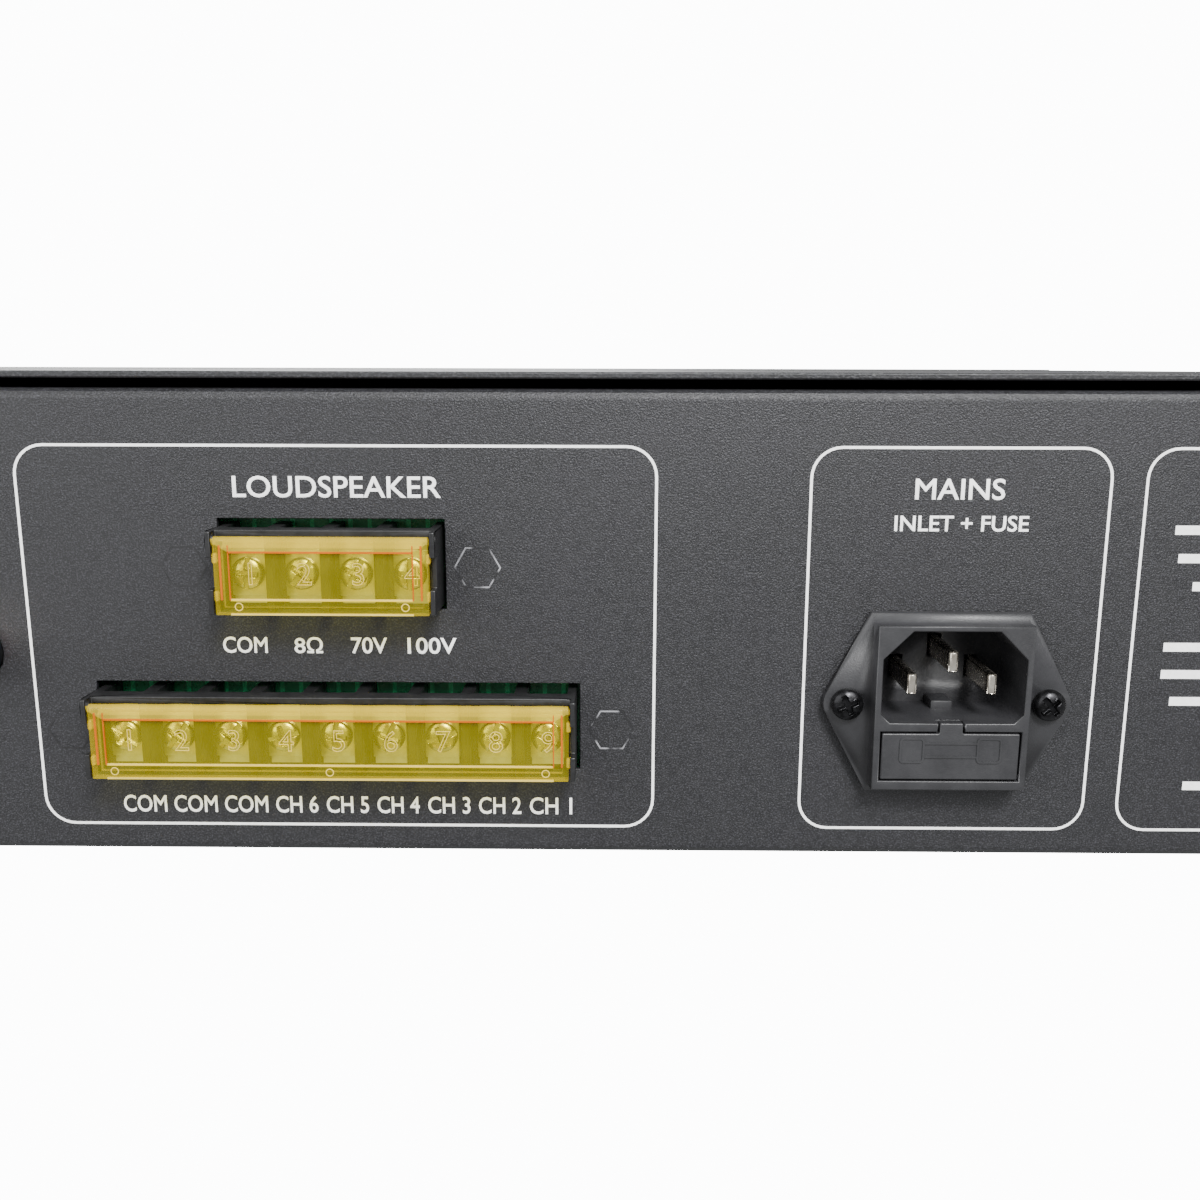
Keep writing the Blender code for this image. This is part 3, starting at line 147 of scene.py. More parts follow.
def add_node(material, kind, inputs, **settings):
    """Add a node: inputs are values or the sockets that feed it, settings its properties."""
    made = material.node_tree.nodes.new(kind)
    for name, value in settings.items():
        setattr(made, name, value)
    for name, value in inputs.items():
        if isinstance(value, bpy.types.NodeSocket):
            material.node_tree.links.new(value, made.inputs[name])
        else:
            made.inputs[name].default_value = value
    return made


def new_finish(name, colour, roughness, metallic=0.0):
    """A material with its shader set; the coordinates of its patterns come back too."""
    made = bpy.data.materials.new(name)
    made.use_nodes = True
    shader = made.node_tree.nodes["Principled BSDF"]
    shader.inputs["Base Color"].default_value = rgba(colour)
    shader.inputs["Roughness"].default_value = roughness
    shader.inputs["Metallic"].default_value = metallic
    place = add_node(made, "ShaderNodeTexCoord", {}).outputs["Object"]
    return made, shader, place


def feed(material, shader, socket, source):
    """Link a node's output to a socket of the shader, or of the material's output."""
    material.node_tree.links.new(source, shader.inputs[socket])


def blotches(material, place, size, light, dark, detail=3.0, low=0.35, high=0.65):
    """Two colours that wander into each other in patches of a size in millimetres."""
    noise = add_node(material, "ShaderNodeTexNoise",
                     {"Vector": place, "Scale": 1 / (size * MM), "Detail": detail})
    share = add_node(material, "ShaderNodeMapRange",
                     {"Value": noise.outputs["Fac"], "From Min": low, "From Max": high})
    mix = add_node(material, "ShaderNodeMix", {0: share.outputs["Result"], 6: rgba(dark),
                   7: rgba(light)}, data_type="RGBA")
    return mix.outputs[2]


def patchy_gloss(material, place, size, low, high):
    """Roughness that wanders between two values in patches of a size in millimetres."""
    noise = add_node(material, "ShaderNodeTexNoise",
                     {"Vector": place, "Scale": 1 / (size * MM), "Detail": 4.0})
    gloss = add_node(material, "ShaderNodeMapRange", {"Value": noise.outputs["Fac"],
                     "From Min": 0.3, "From Max": 0.7, "To Min": low, "To Max": high})
    return gloss.outputs["Result"]


def relief(material, place, size, depth):
    """A rough skin: bumps of a size and depth in millimetres."""
    noise = add_node(material, "ShaderNodeTexNoise",
                     {"Vector": place, "Scale": 1 / (size * MM), "Detail": 2.0})
    bump = add_node(material, "ShaderNodeBump", {"Height": noise.outputs["Fac"],
                    "Distance": depth * MM, "Strength": 1.0})
    return bump.outputs["Normal"]


# ---------------------------------------------------------------------------
# Finishes
# ---------------------------------------------------------------------------

def powder_coat(name, colour, peak_highlight, grain):
    """Powder coat: a fine orange-peel skin whose grain peaks carry a painted highlight, a paler
    colour wherever the bump stands up.
    """
    made, shader, place = new_finish(name, colour, 0.5)
    noise = add_node(made, "ShaderNodeTexNoise", {"Vector": place, "Scale": 1 / (grain * MM),
                     "Detail": 2.0, "Roughness": 0.6})
    # the peaks of the bump noise take the paler colour: a painted highlight, not pigment
    share = add_node(made, "ShaderNodeMapRange",
                     {"Value": noise.outputs["Fac"], "From Min": 0.48, "From Max": 0.78})
    ground = blotches(made, place, 45, colour, tuple(0.8 * c for c in srgb(colour)))
    highlighted_ground = add_node(made, "ShaderNodeMix", {0: share.outputs["Result"], 6: ground,
                      7: rgba(peak_highlight)}, data_type="RGBA")
    feed(made, shader, "Base Color", highlighted_ground.outputs[2])
    feed(made, shader, "Roughness", patchy_gloss(made, place, 1.2, 0.4, 0.56))
    bump = add_node(made, "ShaderNodeBump", {"Height": noise.outputs["Fac"],
                    "Distance": 0.16 * MM, "Strength": 0.8})
    feed(made, shader, "Normal", bump.outputs["Normal"])
    return made


@cache
def case_coat():
    """Black textured polyester powder coat on folded steel, baked on."""
    return powder_coat("black_powder_coated_steel", "#151517", "#37373c", 0.3)


@cache
def cover_coat():
    """The cover's powder coat, from another batch, a little coarser."""
    return powder_coat("black_powder_coated_cover_steel", "#18181a", "#343438", 0.42)


@cache
def satin_coat():
    """Satin black powder coat on the aluminium front and the steel ears, smoother to the eye."""
    return powder_coat("satin_black_coated_aluminium", "#18181a", "#242427", 0.35)


@cache
def screen_ink():
    """White epoxy screen-print ink: flat, a touch uneven where the mesh laid it down."""
    made, shader, place = new_finish("white_screen_print_ink", "#fcfcfb", 0.5)
    feed(made, shader, "Base Color", blotches(made, place, 0.8, "#ffffff", "#f2f2f0"))
    return made


@cache
def stud_line():
    """Painted shade: a dark line round a press-fit stud, for the shade where the coat sinks into the
    joint.
    """
    made, shader, place = new_finish("painted_shade_round_stud", "#141415", 0.6)
    feed(made, shader, "Base Color", blotches(made, place, 1.5, "#1c1c1e", "#0c0c0d"))
    return made


@cache
def stud_edge():
    """The edge of a press-fit stud rubbed through its coat, pale where it shows steel."""
    made, shader, place = new_finish("rubbed_edge_of_stud", "#77777b", 0.45)
    feed(made, shader, "Base Color",
         blotches(made, place, 3.2, "#88888c", "#18181a", 2.0, 0.46, 0.6))
    return made


@cache
def nylon():
    """Glass-filled black nylon, moulded: faint flow marks and a low sheen."""
    made, shader, place = new_finish("black_glass_filled_nylon", "#131314", 0.42)
    feed(made, shader, "Base Color", blotches(made, place, 3, "#19191a", "#0f0f10"))
    feed(made, shader, "Roughness", patchy_gloss(made, place, 0.8, 0.34, 0.52))
    feed(made, shader, "Normal", relief(made, place, 0.3, 0.02))
    return made


@cache
def inlet_plastic():
    """Satin dark polyamide with a spark-eroded mould texture, as mains inlets have."""
    made, shader, place = new_finish("spark_textured_dark_polyamide", "#252527", 0.46)
    feed(made, shader, "Base Color", blotches(made, place, 5, "#2a2a2c", "#222224"))
    feed(made, shader, "Roughness", patchy_gloss(made, place, 0.5, 0.38, 0.5))
    feed(made, shader, "Normal", relief(made, place, 0.22, 0.03))
    return made


def see_through(made, shader, clear, share):
    """Let light pass through a finish, tinted, while its surface catches a share of it."""
    passing = add_node(made, "ShaderNodeBsdfTransparent", {"Color": rgba(clear)})
    mix = add_node(made, "ShaderNodeMixShader", {0: share, 1: passing.outputs["BSDF"],
                   2: shader.outputs["BSDF"]})
    feed(made, made.node_tree.nodes["Material Output"], "Surface", mix.outputs["Shader"])


def bright_metal(name, light, dark, low, high, grain):
    """A plated or drawn metal: colour and polish that wander, and fine tumbling marks."""
    made, shader, place = new_finish(name, light, low, 1.0)
    feed(made, shader, "Base Color", blotches(made, place, 2.5, light, dark))
    feed(made, shader, "Roughness", patchy_gloss(made, place, grain, low, high))
    feed(made, shader, "Normal", relief(made, place, grain / 2, 0.01))
    return made


@cache
def nickel():
    """Bright nickel plate on brass and steel, barrel plated."""
    return bright_metal("bright_nickel_plate", "#d8d3c8", "#b5ada0", 0.16, 0.34, 0.9)


@cache
def tinned_brass():
    """Tinned brass contact strip and clamp plates, duller than the screws."""
    return bright_metal("tinned_brass", "#e2ded0", "#cbc4b0", 0.3, 0.46, 0.7)


@cache
def black_steel():
    """Black oxide on hardened steel screws, oiled, so that edges glint."""
    made, shader, place = new_finish("oiled_black_oxide_steel", "#101011", 0.26, 0.85)
    feed(made, shader, "Base Color", blotches(made, place, 1.2, "#2a2a2c", "#141415"))
    feed(made, shader, "Roughness", patchy_gloss(made, place, 0.6, 0.2, 0.4))
    return made


def amber(name, clear, body, share, low, high):
    """Clear amber polycarbonate: light passes tinted, and a thin haze catches the rest."""
    made, shader, place = new_finish(name, body, 0.12)
    deeper = tuple(0.86 * c for c in srgb(body))
    feed(made, shader, "Base Color", blotches(made, place, 6, body, deeper))
    feed(made, shader, "Roughness", patchy_gloss(made, place, 5, low, high))
    see_through(made, shader, clear, share)
    return made


@cache
def amber_window():
    """The lid's thin window, polished in the mould so that the terminals show."""
    return amber("amber_polycarbonate_window", "#fffcae", "#f4e64c", 0.07, 0.05, 0.11)


@cache
def amber_rim():
    """The lid's thicker frame, whose longer path takes more of the blue out."""
    return amber("amber_polycarbonate_frame", "#fffab0", "#ffe04c", 0.26, 0.06, 0.13)


@cache
def amber_edge():
    """Painted glow: orange on the lid's cut edges and corners, standing in for light piped through
    the sheet that comes out there.
    """
    return amber("amber_polycarbonate_painted_glow", "#ffc458", "#cc6a00", 0.6, 0.1, 0.15)


@cache
def amber_lip():
    """Painted highlight: pale lines for the light caught by the step at the window's lower edge,
    which faces up, and by the moulded numerals and ejector marks.
    """
    return amber("amber_polycarbonate_painted_highlight", "#ffee90", "#f2dc70", 0.6, 0.08, 0.15)


@cache
def board():
    """Green solder mask over copper on glass laminate: tracks show as a paler green."""
    made, shader, place = new_finish("green_solder_mask_laminate", "#0f6a3e", 0.3)
    tracks = add_node(made, "ShaderNodeTexBrick", {"Vector": place, "Scale": 1 / (7 * MM),
                      "Mortar Size": 0.06, "Color1": rgba("#0d6038"), "Color2": rgba("#0f6d41"),
                      "Mortar": rgba("#22945c")})
    feed(made, shader, "Base Color", tracks.outputs["Color"])
    feed(made, shader, "Roughness", patchy_gloss(made, place, 2, 0.22, 0.4))
    return made


@cache
def glass():
    """Drawn soda glass of a fuse tube, faintly green, with the light running through it."""
    made, shader, place = new_finish("drawn_glass_tube", "#dfe8e4", 0.08)
    feed(made, shader, "Base Color", blotches(made, place, 4, "#e8efec", "#cfdcd6"))
    see_through(made, shader, "#eef5f1", 0.25)
    return made


def moulded(name, light, dark, low, high, skin):
    """A moulded plastic: small changes of shade and sheen, and the skin of its mould."""
    made, shader, place = new_finish(name, light, low)
    feed(made, shader, "Base Color", blotches(made, place, 4, light, dark))
    feed(made, shader, "Roughness", patchy_gloss(made, place, 1.5, low, high))
    feed(made, shader, "Normal", relief(made, place, 0.35, skin))
    return made


@cache
def knob_plastic():
    """Black ABS knobs, moulded with a fine matt skin that fingers polish."""
    return moulded("black_moulded_abs", "#1d1d1f", "#141415", 0.36, 0.55, 0.03)


@cache
def button_plastic():
    """Grey ABS push buttons, smooth from the mould."""
    return moulded("grey_moulded_abs", "#8b8b8e", "#77777b", 0.34, 0.46, 0.015)


@cache
def red_plastic():
    """Red polypropylene insulator of the right-hand phono socket, waxy."""
    return moulded("red_polypropylene", "#c01a1c", "#9c1214", 0.3, 0.42, 0.01)


@cache
def white_plastic():
    """White polypropylene insulator of the left-hand phono socket, waxy."""
    return moulded("white_polypropylene", "#ece9e2", "#d6d2c9", 0.3, 0.42, 0.01)


@cache
def rubber():
    """Moulded black rubber feet: matt, with a dusty bloom."""
    return moulded("moulded_black_rubber", "#262627", "#161616", 0.72, 0.9, 0.05)


@cache
def laminations():
    """Varnished steel laminations: half-millimetre sheets that show as lines along the stack."""
    made, shader, place = new_finish("varnished_steel_laminations", "#4a443d", 0.4, 0.55)
    lines = add_node(made, "ShaderNodeTexWave", {"Vector": place, "Scale": 0.31 / (2 * MM),
                     "Distortion": 0.6}, bands_direction="Y")
    shade = add_node(made, "ShaderNodeMix", {0: lines.outputs["Fac"], 6: rgba("#2b2825"),
                     7: rgba("#5a534a")}, data_type="RGBA")
    feed(made, shader, "Base Color", shade.outputs[2])
    bump = add_node(made, "ShaderNodeBump", {"Height": lines.outputs["Fac"],
                    "Distance": 0.1 * MM, "Strength": 0.6})
    feed(made, shader, "Normal", bump.outputs["Normal"])
    return made


@cache
def aluminium():
    """Extruded aluminium, anodised clear: die lines run up the fins."""
    made, shader, place = new_finish("clear_anodised_extruded_aluminium", "#b9babd", 0.38, 1.0)
    stretched = add_node(made, "ShaderNodeMapping", {"Vector": place, "Scale": (1.0, 1.0, 0.02)})
    streaks = stretched.outputs["Vector"]
    feed(made, shader, "Base Color", blotches(made, streaks, 0.8, "#c4c5c8", "#a2a3a7"))
    feed(made, shader, "Roughness", patchy_gloss(made, streaks, 0.6, 0.3, 0.48))
    return made


@cache
def sleeve():
    """Dark blue heat-shrink sleeve on the reservoir capacitors, glossy."""
    return moulded("blue_heat_shrink_sleeve", "#1c2344", "#141a33", 0.2, 0.32, 0.01)


@cache
def lamp():
    """Clear green lens of an indicator, unlit."""
    return moulded("green_indicator_lens", "#2f7d3d", "#225f2d", 0.12, 0.2, 0.005)


# ---------------------------------------------------------------------------
# Shapes
# ---------------------------------------------------------------------------

def add_block(shape, low, high, edge=0.0, place=Matrix.Identity(4)):
    """Add a block between two corners, with its edges rounded."""
    low = Vector(low)
    high = Vector(high)
    matrix = place @ Matrix.Translation((low + high) / 2) @ Matrix.Diagonal((*(high - low), 1))
    made = bmesh.ops.create_cube(shape, size=1.0, matrix=matrix)
    if matrix.determinant() < 0:
        bmesh.ops.reverse_faces(shape, faces=list({f for v in made["verts"] for f in v.link_faces}))
    if edge:
        edges = {e for v in made["verts"] for e in v.link_edges}
        bmesh.ops.bevel(shape, geom=list(edges), offset=edge, offset_type="OFFSET", segments=2,
                        profile=0.5, affect="EDGES", material=-1)


def add_turned(shape, profile, place, steps=32):
    """Add a turned shape: its profile is (radius, distance out) from the axis to the axis."""
    work = bmesh.new()
    points = [work.verts.new((radius, 0, along)) for radius, along in profile]
    line = [work.edges.new(pair) for pair in zip(points, points[1:])]
    bmesh.ops.spin(work, geom=points + line, cent=(0, 0, 0), axis=(0, 0, 1),
                   angle=2 * math.pi, steps=steps, use_merge=True)
    bmesh.ops.remove_doubles(work, verts=work.verts, dist=0.001 * MM)
    bmesh.ops.recalc_face_normals(work, faces=work.faces)
    take_in(shape, work, place)


def take_in(shape, work, place=Matrix.Identity(4), finish=None):
    """Move a mesh into place and add it to another, keeping or setting its finish."""
    bmesh.ops.transform(work, matrix=place, verts=work.verts)
    if finish is not None:
        for face in work.faces:
            face.material_index = finish
    mesh = bpy.data.meshes.new("part")
    work.to_mesh(mesh)
    work.free()
    shape.from_mesh(mesh)
    bpy.data.meshes.remove(mesh)


def block(low, high):
    """A new mesh that holds one block."""
    shape = bmesh.new()
    add_block(shape, low, high)
    return shape


def bored(shape, tool, operation="DIFFERENCE"):
    """The mesh left by cutting one mesh with another, or by joining them."""
    pair = []
    for name, source in (("work", shape), ("tool", tool)):
        mesh = bpy.data.meshes.new(name)
        source.to_mesh(mesh)
        source.free()
        pair.append(bpy.data.objects.new(name, mesh))
        bpy.context.scene.collection.objects.link(pair[-1])
    step = pair[0].modifiers.new("Boolean", "BOOLEAN")
    step.operation = operation
    step.object = pair[1]
    graph = bpy.context.evaluated_depsgraph_get()
    mesh = bpy.data.meshes.new_from_object(pair[0].evaluated_get(graph))
    made = bmesh.new()
    made.from_mesh(mesh)
    for thing in pair:
        bpy.data.meshes.remove(thing.data)
    bpy.data.meshes.remove(mesh)
    return made


def cad_copy(node):
    """A merged copy of a node's mesh, its flat faces cut into fuller triangles for the bevel."""
    shape = bmesh.new()
    shape.from_mesh(frame["nodes"][node].data)
    bmesh.ops.remove_doubles(shape, verts=shape.verts, dist=0.005 * MM)
    flat = [edge for edge in shape.edges if edge.calc_face_angle(1) < FLAT]
    bmesh.ops.beautify_fill(shape, faces=shape.faces, edges=flat, method="AREA")
    return shape


def add_piece(name, shape, finishes, body=CHASSIS, stands_for=(), sharp=35):
    """Make a finished piece of a mesh that is in place, riding on its body."""
    mesh = bpy.data.meshes.new(name)
    shape.to_mesh(mesh)
    shape.free()
    for finish in finishes:
        mesh.materials.append(finish)
    mesh.shade_smooth()
    mesh.set_sharp_from_angle(angle=math.radians(sharp))
    made = bpy.data.objects.new(name, mesh)
    bpy.context.scene.collection.objects.link(made)
    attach(made, body)
    if stands_for:
        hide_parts(*stands_for)
    return made


def soften(piece, width):
    """Round a piece's sharp edges with a live bevel, and keep its large faces flat to the eye."""
    edges = piece.modifiers.new("Edges", "BEVEL")
    edges.width = width
    edges.segments = 2
    edges.limit_method = "ANGLE"
    edges.angle_limit = math.radians(40)
    edges.use_clamp_overlap = False
    edges.loop_slide = False
    edges.miter_outer = "MITER_ARC"
    shade = piece.modifiers.new("Shading", "WEIGHTED_NORMAL")
    shade.mode = "FACE_AREA_WITH_ANGLE"
    shade.keep_sharp = True


def refine(node, finish, width, body=CHASSIS):
    """Stand a copy of a node with rounded edges in for it."""
    soften(add_piece(f"{node}_finished", cad_copy(node), [finish], body, (node,)), width)


def add_text(shape, words, place, width, height, weight):
    """Add words in ink to a mesh, fitted to a height and, unless it is None, a width."""
    take_in(shape, lettering(words, height, width, weight, INK + INK_SUNK),
            place @ Matrix.Translation((0, 0, (INK - INK_SUNK) / 2)))


def lettering(words, height, width=None, weight=0.0, thickness=0.0, wire=0.0):
    """Words as a mesh about the origin: solid, or a wire along their outlines. With no width
    given they keep their proportions."""
    curve = bpy.data.curves.new("letters", "FONT")
    curve.body = words
    curve.size = 1.5 * height
    curve.extrude = 0 if wire else thickness
    curve.bevel_depth = weight
    curve.bevel_resolution = 0
    curve.resolution_u = 4
    if wire:
        curve.fill_mode = "NONE"
        curve.bevel_depth = wire
        curve.bevel_resolution = 1
    drawn = bpy.data.objects.new("letters", curve)
    bpy.context.scene.collection.objects.link(drawn)
    graph = bpy.context.evaluated_depsgraph_get()
    mesh = bpy.data.meshes.new_from_object(drawn.evaluated_get(graph))
    bpy.data.curves.remove(curve)
    shape = bmesh.new()
    shape.from_mesh(mesh)
    bpy.data.meshes.remove(mesh)
    low = Vector([min(v.co[i] for v in shape.verts) for i in range(3)])
    high = Vector([max(v.co[i] for v in shape.verts) for i in range(3)])
    size = high - low
    tall = height / size.y
    bmesh.ops.translate(shape, verts=shape.verts, vec=-(low + high) / 2)
    bmesh.ops.scale(shape, verts=shape.verts,
                    vec=(width / size.x if width else tall, tall,
                         thickness / size.z if thickness else 1))
    bmesh.ops.remove_doubles(shape, verts=shape.verts, dist=0.001 * MM)
    return shape


def flat_ring(width, height, corner, line, thickness, sides=None):
    """A flat ring about the origin: a rounded box, or a polygon across its flats."""
    shape = bmesh.new()
    if sides:
        turn = Matrix.Rotation(math.pi / 2, 4, "Z")
        bmesh.ops.create_circle(shape, cap_ends=True, segments=sides,
                                radius=width / 2 / math.cos(math.pi / sides), matrix=turn)
    else:
        bmesh.ops.create_grid(shape, x_segments=1, y_segments=1, size=0.5,
                              matrix=Matrix.Diagonal((width, height, 1, 1)))
        bmesh.ops.bevel(shape, geom=list(shape.verts), offset=corner, offset_type="OFFSET",
                        segments=8, profile=0.5, affect="VERTICES", material=-1)
    inner = list(shape.faces)
    bmesh.ops.inset_region(shape, faces=inner, thickness=line, use_boundary=True,
                           use_even_offset=True)
    bmesh.ops.delete(shape, geom=inner, context="FACES")
    rim = bmesh.ops.extrude_face_region(shape, geom=list(shape.faces), use_keep_orig=True)
    top = [v for v in rim["geom"] if isinstance(v, bmesh.types.BMVert)]
    bmesh.ops.translate(shape, verts=top, vec=(0, 0, thickness))
    bmesh.ops.recalc_face_normals(shape, faces=shape.faces)
    return shape


# ---------------------------------------------------------------------------
# Settings
# ---------------------------------------------------------------------------

class PrintSettings(PropertyGroup):
    """The printed marks."""
    line: FloatProperty(name="Line", description="Width of the printed frames' line",
                        default=0.48 * MM, min=0.1 * MM, unit="LENGTH")
    weight: FloatProperty(name="Weight", description="Extra stroke width of the legends",
                          default=0.06 * MM, min=0.0, max=0.2 * MM, unit="LENGTH")
    legend: FloatProperty(name="Legend", description="Height of the terminal legends",
                          default=3.0 * MM, min=1 * MM, unit="LENGTH")


class LidSettings(PropertyGroup):
    """The clear lids."""
    sheet: FloatProperty(name="Sheet", description="Thickness of a lid's sheet",
                         default=1.1 * MM, min=0.5 * MM, unit="LENGTH")
    frame: FloatProperty(name="Frame", description="Width of the frame round the window",
                         default=2.6 * MM, min=1 * MM, unit="LENGTH")
    step: FloatProperty(name="Step", description="Depth of the window below the frame",
                        default=0.3 * MM, min=0.05 * MM, unit="LENGTH")
    numeral: FloatProperty(name="Numeral", description="Height of the moulded numerals",
                           default=3.9 * MM, min=1 * MM, unit="LENGTH")


class StageSettings(PropertyGroup):
    """The surround, lights and camera."""
    lens: FloatProperty(name="Lens", description="Focal length in millimetres", default=34.5,
                        min=10, unit="CAMERA")
    key: FloatProperty(name="Key", description="Power of the large soft light in watts",
                       default=30.0, min=0.0, unit="POWER")
    surround: FloatVectorProperty(name="Surround", description="Colour of the light all round",
                                  subtype="COLOR", default=srgb("#f6f7f8"))
    strength: FloatProperty(name="Strength", description="Strength of the light all round",
                            default=0.75, min=0.0)
    white: FloatProperty(name="White", description="Strength of the surround as it is seen",
                         default=14.0, min=0.0)


class AmplifierSettings(PropertyGroup):
    """What a user would change."""
    marks: PointerProperty(type=PrintSettings, name="Print")
    lids: PointerProperty(type=LidSettings, name="Lids")
    stage: PointerProperty(type=StageSettings, name="Stage")


# ---------------------------------------------------------------------------
# Case
# ---------------------------------------------------------------------------

class AMPLIFIER_OT_case(Operator):
    """Coat the pan, the cover and the feet, and put in the case screws"""
    bl_idname = "amplifier.case"
    bl_label = "Case"

    def execute(self, context):
        refine("chassis_pan", case_coat(), 0.15 * MM)
        refine("top_cover", cover_coat(), 0.3 * MM)
        for end in ("front", "rear"):
            for side in ("left", "right"):
                refine(f"foot_{end}_{side}", rubber(), 0.8 * MM)
        add_case_screws()
        return {"FINISHED"}


CROSS_ARM = 0.62                    # of a cross recess, as shares of the head's radius and height
CROSS_WIDTH = 0.3
CROSS_DEPTH = 0.55


def domed_screw(radius, height, wall, shank, end, steps):
    """A screw about the origin, its seat at z 0: a head domed above a straight wall, which is a
    share of its height, and a shank down to its end."""
    dome = [(radius * math.cos(a), height * (wall + (1 - wall) * math.sin(a)))
            for a in (math.radians(10 * i) for i in range(8, -1, -1))]
    shape = bmesh.new()
    add_turned(shape, [(0.0, height), *dome, (radius, 0), (shank, 0), (shank, end), (0, end)],
               Matrix.Identity(4), steps)
    return shape


def recessed(shape, height, cuts):
    """A screw with slots cut into its head, each by its half length, half width and depth."""
    for x, y, deep in cuts:
        shape = bored(shape, block((-x, -y, height * (1 - deep)), (x, y, 2 * height)))
    return shape


def phillips_screw(radius, height, shank):
    """A pan-head screw about the origin with a cross recess."""
    shape = domed_screw(radius, height, 0.35, shank, -2 * height, 36)
    arm = CROSS_ARM * radius
    half = radius * CROSS_WIDTH / 2
    return recessed(shape, height, ((arm, half, CROSS_DEPTH), (half, arm, CROSS_DEPTH)))


COVER_SCREW = (3.1 * MM, 1.7 * MM, 1.4 * MM)        # head radius and height, shank radius
COVER_SCREW_RISE = 10 * MM
COVER_SCREW_SHARES = (0.12, 0.5, 0.88)              # along the depth of the case


def add_case_screws():
    """Screws that hold the cover's sides, along both flanks of the case."""
    low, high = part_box("top_cover")
    for side, x in (("left", high.x), ("right", low.x)):
        shape = bmesh.new()
        out = Matrix.Rotation(math.copysign(math.pi / 2, x), 4, "Y")
        for share in COVER_SCREW_SHARES:
            y = low.y + share * (high.y - low.y)
            take_in(shape, phillips_screw(*COVER_SCREW),
                    Matrix.Translation((x, y, low.z + COVER_SCREW_RISE)) @ out)
        add_piece(f"cover_screws_{side}", shape, [black_steel()])


# ---------------------------------------------------------------------------
# Print
# ---------------------------------------------------------------------------

class AMPLIFIER_OT_marks(Operator):
    """Print the frames and legends, and mark the studs pressed into the rear panel"""
    bl_idname = "amplifier.marks"
    bl_label = "Printed marks"

    def execute(self, context):
        marks = context.scene.amplifier.marks
        add_frames(marks)
        add_legends(marks)
        add_studs()
        return {"FINISHED"}


def add_frames(marks):
    """The three printed boxes, and plain bars in place of the notice in the third."""
    shape = bmesh.new()
    bottom, top = FRAME_HEIGHTS
    for left, right in (OUTPUT_FRAME, INLET_FRAME, NOTE_FRAME):
        ring = flat_ring(left - right, top - bottom, FRAME_CORNER, marks.line, INK + INK_SUNK)
        take_in(shape, ring, rear((left + right) / 2, (top + bottom) / 2, -INK_SUNK))
    middle = sum(NOTE_FRAME) / 2
    for height, width in NOTE_BARS:
        half = width / 2 * MM
        add_block(shape, (-half, -BAR_HALF, -INK_SUNK), (half, BAR_HALF, INK),
                  place=rear(middle, height * MM))
    add_piece("printed_frames", shape, [screen_ink()], sharp=60)


def add_legends(marks):
    """The headers and the name of each terminal."""
    shape = bmesh.new()
    heavy = marks.weight
    for words, x, height, width, tall in HEADERS:
        add_text(shape, words, rear(x * MM, height * MM), width * MM, tall * MM, heavy)
    for words, x, width in LINE_LEGENDS:
        add_text(shape, words, rear(x * MM, LINE_LEGEND_HEIGHT * MM), width * MM, marks.legend,
                 heavy)
    for way, words in enumerate(ZONE_LEGENDS):
        x = ZONE_LEGEND_X - way * ZONE_LEGEND_STEP
        width = COMMON_WIDTH if words == "COM" else CHANNEL_WIDTH
        add_text(shape, words, rear(x * MM, ZONE_LEGEND_HEIGHT * MM), width * MM,
                 1.1 * marks.legend, heavy)
    add_piece("printed_legends", shape, [screen_ink()], sharp=60)


def add_studs():
    """Outlines of the hexagonal heads of the press-fit studs, which lie flush under the coat."""
    for number, (x, height, rubbed) in enumerate(STUDS, 1):
        shape = flat_ring(STUD_ACROSS, STUD_ACROSS, 0, STUD_LINE, INK + INK_SUNK, 6)
        bmesh.ops.transform(shape, matrix=rear(x * MM, height * MM, -INK_SUNK), verts=shape.verts)
        # dark outlines are painted shade of the sunk joint; the rubbed ones are pale wear
        add_piece(f"stud_outline_{number}", shape, [stud_edge() if rubbed else stud_line()])


# ---------------------------------------------------------------------------
# Terminals
# ---------------------------------------------------------------------------

class AMPLIFIER_OT_terminals(Operator):
    """Make the terminal blocks, their contact strips, clamp plates and screws"""
    bl_idname = "amplifier.terminals"
    bl_label = "Terminals"

    def execute(self, context):
        for prefix, ways, turns in (("line", LINE_WAYS, LINE_TURNS),
                                    ("zone", ZONE_WAYS, ZONE_TURNS)):
            refine(f"{prefix}_block", nylon(), 0.18 * MM)
            add_contacts(prefix, ways)
            for way in range(1, ways + 1):
                add_terminal_screw(f"{prefix}_screw_{way}", turns[way - 1])
        return {"FINISHED"}


TERMINAL_HEAD = 1.9 * MM            # height of a terminal screw's head
TERMINAL_SHANK = 1.45 * MM
STRIP_HALF = 2.9 * MM               # half the width of a contact strip
STRIP_SPAN = (-6.5 * MM, 5.6 * MM)  # its ends, below and above the middle of the block
STRIP_FACES = (0.75 * MM, 1.15 * MM)
CLAMP_HALF = (3.1 * MM, 4.15 * MM)
CLAMP_FACE = 1.85 * MM


def add_contacts(prefix, ways):
    """A tinned strip up each pocket's floor, with the clamp plate that the screw holds."""
    shape = bmesh.new()
    low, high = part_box(f"{prefix}_block")
    row = (low.z + high.z) / 2 - PAN_Z
    for way in range(1, ways + 1):
        start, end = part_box(f"{prefix}_screw_{way}")
        place = rear((start.x + end.x) / 2, row)
        screw = (start.z + end.z) / 2 - PAN_Z - row
        add_block(shape, (-STRIP_HALF, STRIP_SPAN[0], STRIP_FACES[0]),
                  (STRIP_HALF, STRIP_SPAN[1], STRIP_FACES[1]), 0.1 * MM, place)
        add_block(shape, (-CLAMP_HALF[0], screw - CLAMP_HALF[1], STRIP_FACES[1]),
                  (CLAMP_HALF[0], screw + CLAMP_HALF[1], CLAMP_FACE), 0.18 * MM, place)
    add_piece(f"{prefix}_contacts", shape, [tinned_brass()])


